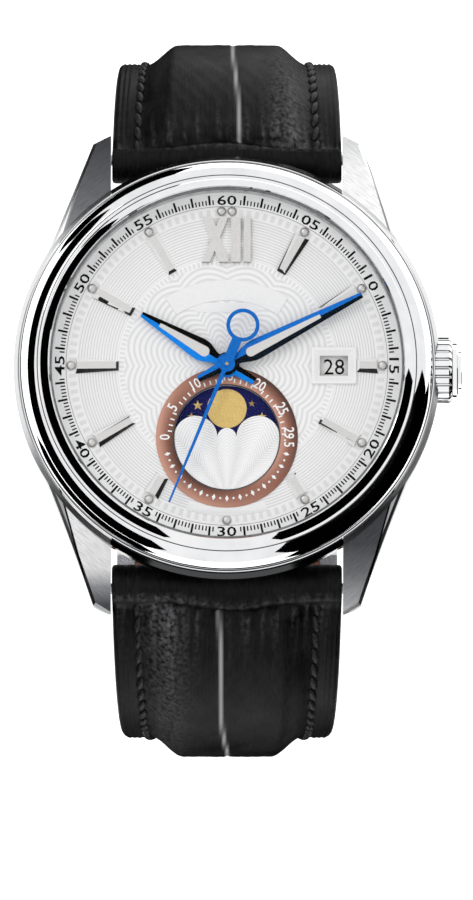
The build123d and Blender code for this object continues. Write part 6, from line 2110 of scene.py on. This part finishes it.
        # columns lie closer at the edges, with three more pairs on the rounded corners
        share = np.sin(np.linspace(-0.43, 0.43, 105) * math.pi) / math.sin(0.43 * math.pi)
        share = np.unique(np.concatenate((share, [-0.995, 0.995, -0.98, 0.98, -0.965, 0.965])))
        half = self.half_width(run) - (0.06 if lining else 0.0)
        x = share * half
        if lining:
            top, bottom = self.inner(run, False), self.inner(run, True)
        else:
            top = self.outer(run, x, half)
            bottom = self.inner(run, False) + edge_fall(half - np.abs(x), self.inner_corner)
        loops = [self.lay(run, x, top)[::-1]]
        maps = [spread(x, run)[::-1]]
        bar_rows = 0 if lining else 17
        if bar_rows:
            bend = np.radians(np.linspace(0.0, 180.0, bar_rows + 2))[1:-1, None]
            loops.append(self.round_end(0.0, x[0], top[0], bottom[0], bend, -1.0))
            maps.append(spread(x[0], -bend * self.case_thickness / 2))
        loops.append(self.lay(run, x, bottom))
        maps.append(spread(x, run + 200.0))
        total = 2 * len(run) + bar_rows
        ladder = np.arange(len(run) + bar_rows // 2)
        first, last = ladder[:-1], ladder[1:]
        sides = [np.stack((first, last, total - 1 - last, total - 1 - first), axis=-1)]
        if bar_rows:
            sides.append(np.arange(len(ladder) - 1, total - len(ladder) + 1)[None, :])
        if not self.pointed and not lining:
            bend = np.radians(np.linspace(0.0, 180.0, 11))[1:-1, None]
            loops.append(self.round_end(self.end, x[-1], bottom[-1], top[-1], bend, 1.0))
            maps.append(spread(x[-1], self.end + bend))
            tail = np.arange(total, total + len(bend))
            sides.append(np.concatenate(([total - 1], tail, [0]))[None, :])
        points = np.concatenate(loops)
        columns = points.shape[1]
        shape = grid(points, along=True)
        shape.uv = np.concatenate(maps).reshape(-1, 2)
        for side in sides:
            shape.faces += [side * columns, side * columns + columns - 1]
        if not lining:
            # painted highlight: the seam mark lightens a thin line along the seam
            seam = bell(x, self.seam_line(run), 0.13) * (run > self.crease_run + 0.6)
            seam = seam * (1 - smooth_step(run, 30.0, 44.0))
            for mark, values in (("seam", seam), ("worn", self.wear(run, x))):
                marks = np.zeros(points.shape[:2])
                marks[: len(run)] = values[::-1]
                shape.marks[mark] = marks.ravel()
        shape.points[:, 1] *= self.side
        return shape

    def lay(self, run: np.ndarray, x: np.ndarray, offset: np.ndarray) -> np.ndarray:
        """Points beside the middle line.

        Args:
            run: length along the strap.
            x: place across it.
            offset: how far out each point lies.

        Returns:
            (x, y - offset sin h, z + offset cos h) for the line's heading h.
        """
        y, z, heading = self.line(run)
        return spread(x, y - offset * np.sin(heading), z + offset * np.cos(heading))

    def round_end(
        self,
        run: float,
        x: np.ndarray,
        first: np.ndarray,
        last: np.ndarray,
        bend: np.ndarray,
        forward: float,
    ) -> np.ndarray:
        """A half circle that joins two faces at an end.

        Args:
            run: the end's length along the strap.
            x: places across it.
            first: the offsets that the half circle starts from.
            last: the offsets that it ends at.
            bend: angles round it, one for each row.
            forward: 1 where it bulges along the strap and -1 against it.

        Returns:
            Its rows of points: middle + radius (cos a out + sin a forward).
        """
        _, _, heading = self.line(np.array(run))
        middle, radius = (first + last) / 2, (first - last) / 2
        points = self.lay(np.array(run), x, middle + radius * np.cos(bend))
        bulge = np.abs(radius) * np.sin(bend) * forward
        return points + spread(0.0, bulge * np.cos(heading), bulge * np.sin(heading))

    def stitches(self) -> Shape:
        """Waxed stitches down both borders: each is a twisted, pinched oval of a few faces.

        Returns:
            All stitches of the half.
        """
        last = self.end - (self.point_length if self.pointed else 4.0)
        run = np.arange(self.crease_run + 0.7, last, self.stitch_pitch)[:, None, None]
        half = self.half_width(run)
        station = np.linspace(-1.0, 1.0, 7)[:, None]
        body = np.sqrt(np.maximum(1.02 - station**2, 0.0))
        wide, thick = rays(round_steps(8)).T
        shapes = []
        for side in (-1.0, 1.0):
            middle = side * (half - self.stitch_inset)
            across = middle + 0.34 * body * wide + side * 0.16 * station
            up = self.outer(run, middle, half) + 0.06 + 0.26 * body * thick
            points = self.lay(run + station * 0.86, across, up)
            points[..., 1] *= self.side
            shapes += [closed_tube(one) for one in points]
        return joined(shapes)


@dataclass
class Strap:
    """Both halves of the strap, its keepers and its stitches."""

    # y of the buckle's cross bar, the tail's holes from there, and the heights they go through
    cross_bar_y: float = -2.303
    hole_offset: float = 0.485
    hole_pitch: float = 6.5
    hole_length: float = 2.35
    hole_width: float = 1.8
    hole_reach: tuple[float, float] = (-52.0, -47.75)
    # the notch for the tang, and the heights it goes through
    notch_half: float = 0.95
    notch_back: float = 1.75
    notch_reach: tuple[float, float] = (-49.0, -44.0)
    # the keepers' inside: half its width, its floor and its roof
    keeper_inner: tuple[float, float, float] = (9.15, -50.2, -45.15)
    keeper_corner: float = 0.5
    keeper_wall: float = 1.05
    keeper_width: float = 4.8
    # their section: shares of the wall and of the width
    keeper_strip: tuple[tuple[float, float], ...] = (
        (0.0, 0.0), (0.0, 1.0), (0.62, 1.0), (0.86, 0.97), (0.94, 0.90), (1.0, 0.5),
        (0.94, 0.10), (0.86, 0.03), (0.62, 0.0),
    )
    # y of each keeper's first edge
    fixed_start: float = 0.797
    free_start: float = 6.697

    def build(self, nodes: dict[str, bpy.types.Object]) -> None:
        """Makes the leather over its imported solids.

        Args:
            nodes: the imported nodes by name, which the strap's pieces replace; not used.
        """
        leather = PaddedLeather().material()
        brown = Enamel("calf_lining_tan_suede", "#6a3d27", "#4a2817", 0.8, 0.3, 0.02)
        suede = brown.material()
        thread = Enamel(
            "linen_thread_waxed_black", "#2c2c2e", "#040404", 0.45, 0.2, 0.03, specular=0.2
        )
        waxed = thread.material()
        short = StrapHalf(
            name="12", side=1, runs=(0.0, 23.03, 47.464, 57.139, 90.0),
            headings=(-25.0, -90.0, -110.0, -180.0, -180.0), end=80.0, end_thickness=2.4,
            pointed=False, seam=(1.1, 0.55), crease_run=0.4, dip=0.65, shine=5.9,
        )
        long = StrapHalf(
            name="6", side=-1, runs=(0.0, 23.03, 47.464, 61.874, 120.0),
            headings=(-25.0, -90.0, -110.0, -180.0, -180.0), end=99.0, end_thickness=2.0,
            pointed=True, seam=(-0.9, -0.2), crease_run=1.0, dip=0.8, shine=-5.9,
        )
        cuts = {"12": self.tang_notch(), "6": self.holes()}
        for half in (short, long):
            for lining in (False, True):
                words = "lining" if lining else "leather"
                made = piece(
                    f"strap_{half.name}_{words}_shaped", half.surface(lining),
                    suede if lining else leather, "case",
                    replaces=(f"strap_{half.name}_{words}",), crease=60.0,
                )
                self.cut(made, cuts[half.name])
            piece(
                f"strap_{half.name}_stitches", half.stitches(), waxed, "case",
                crease=60.0,
            )
        for name, start, body in (
            ("fixed_keeper", self.fixed_start, "case"),
            ("free_keeper", self.free_start, "free_keeper"),
        ):
            piece(
                f"{name}_leather", self.keeper(start), leather, body,
                replaces=(name,), crease=50.0,
            )

    def holes(self) -> Shape:
        """Round ended plugs where the tail's holes are.

        Returns:
            All plugs as one shape.
        """
        straight = (self.hole_length - self.hole_width) / 2
        outline = self.hole_width / 2 * rays(round_steps(24))
        outline[:, 1] += np.sign(np.round(outline[:, 1], 6)) * straight
        plug = slab(outline, *self.hole_reach)
        places = self.cross_bar_y + self.hole_offset + np.arange(-2, 3) * self.hole_pitch
        return joined([plug.moved(0.0, place) for place in places])

    def tang_notch(self) -> Shape:
        """The notch for the tang in the short half's wrapped end.

        Returns:
            The plug that is cut away.
        """
        half = self.notch_half
        low, high = self.cross_bar_y - 2.0, self.cross_bar_y + self.notch_back
        return slab(rectangle(-half, half, low, high), *self.notch_reach)

    @staticmethod
    def cut(made: bpy.types.Object, tool: Shape) -> None:
        """Cuts a shape out of a piece.

        Args:
            made: the piece.
            tool: the shape that is taken away.
        """
        mesh = plain_mesh("tool", tool)
        face_out(mesh)
        cutter = placed("tool", mesh)
        modifier = made.modifiers.new("cut", "BOOLEAN")
        modifier.operation = "DIFFERENCE"
        modifier.solver = "EXACT"
        modifier.object = cutter
        result = evaluated_mesh(made)
        made.modifiers.clear()
        bpy.data.objects.remove(cutter)
        old, made.data = made.data, result
        for used in (old, mesh):
            bpy.data.meshes.remove(used)
        result.name = made.name

    def keeper(self, start: float) -> Shape:
        """A leather loop: a rounded band carried round a rounded rectangle.

        The path is the rectangle's corner arcs and sides; the band's section is a rounded
        strip, slightly crowned outside.

        Args:
            start: y of its first edge.

        Returns:
            The closed loop, with its map in millimetres.
        """
        inner_half, low, high = self.keeper_inner
        radius = self.keeper_corner
        half = np.array([inner_half, (high - low) / 2]) - radius
        corners = np.array([(1.0, 1.0), (-1.0, 1.0), (-1.0, -1.0), (1.0, -1.0)]) * half
        middle = np.repeat(corners, 9, axis=0)
        turn = np.arange(4)[:, None] * 90.0 + np.linspace(0.0, 90.0, 9)
        out = rays(np.radians(turn.ravel()))
        wall = self.keeper_wall * np.array(self.keeper_strip)[:, 0]
        width = self.keeper_width * np.array(self.keeper_strip)[:, 1]
        flat = middle[:, None, :] + out[:, None, :] * (radius + wall)[:, None]
        points = spread(flat[..., 0], start + width, flat[..., 1] + (low + high) / 2)
        shape = grid(points, around=True, along=True)
        step = np.linalg.norm(np.diff(flat[:, 5], axis=0, prepend=flat[:1, 5]), axis=1)
        shape.uv = spread(width, np.cumsum(step)[:, None]).reshape(-1, 2)
        return shape


# ---------------------------------------------------------------- movement and buckle


@dataclass
class Movement:
    """Finishes of the movement, seen through the back crystal, and of the buckle."""

    # each finish with the nodes that have it
    finishes: tuple[tuple[Metal | Enamel, str], ...] = (
        (
            Metal("rhodium_plated_striped", "#d4d5d8", "#8f9196", 0.24, Grain.STRIPED, 0.08, 0.02),
            "rotor barrel_bridge train_bridge",
        ),
        (
            Metal("rhodium_plated_frosted", "#c6c7ca", "#9a9b9f", 0.4, Grain.BLASTED, 0.12),
            "main_plate balance_cock pallet_cock",
        ),
        (
            Metal("tempered_steel_brushed", "#c8cacd", "#8d8f94", 0.25, Grain.STRAIGHT, 0.1),
            "pallet_fork sliding_clutch winding_pinion escape_wheel buckle_bar rotor_bearing",
        ),
        (
            Metal("steel_wheel_snailed", "#cfd0d3", "#87898e", 0.26, Grain.TURNED, 0.1),
            "ratchet_wheel crown_wheel barrel",
        ),
        (
            Metal("brass_wheel_gilded", "#dcbd72", "#a98742", 0.3, Grain.TURNED, 0.14),
            "centre_wheel third_wheel fourth_wheel balance_wheel cannon_pinion minute_wheel "
            "hour_wheel",
        ),
        (
            Metal("screw_steel_blued", "#2b4f96", "#1b3569", 0.22, Grain.POLISHED, 1.0),
            "bridge_screws",
        ),
        (
            Metal("spring_alloy_drawn", "#8f98a8", "#5c6474", 0.25, Grain.STRAIGHT, 0.06),
            "hairspring mainspring",
        ),
        (
            Enamel("synthetic_ruby_polished", "#c01838", "#8e0a24", 0.08, 0.6, 0.0, coat=0.5),
            "jewels",
        ),
        (
            Metal(
                "stainless_steel_buckle_polished", "#e6e7e9", "#d2d3d6", 0.1, Grain.STRAIGHT,
                0.2, 0.001,
            ),
            "buckle_frame buckle_tang",
        ),
    )

    def build(self, nodes: dict[str, bpy.types.Object]) -> None:
        """Dresses the movement's and buckle's nodes.

        Args:
            nodes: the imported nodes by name.
        """
        for finish, names in self.finishes:
            dress(nodes, finish.material(), *names.split())


# ---------------------------------------------------------------- the watch


def main() -> None:
    """Loads the frame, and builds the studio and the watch."""
    logging.basicConfig(level=logging.INFO, format="%(name)s: %(message)s")
    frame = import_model()
    nodes = frame["nodes"]
    view = bpy.context.scene.view_settings
    view.view_transform = "Standard"
    Studio().build()
    for part in (Case(), Dial(), Hands(), Strap(), Movement()):
        part.build(nodes)
        log.info("%s is done", type(part).__name__)
    bpy.context.view_layer.update()


if __name__ == "__main__":
    main()
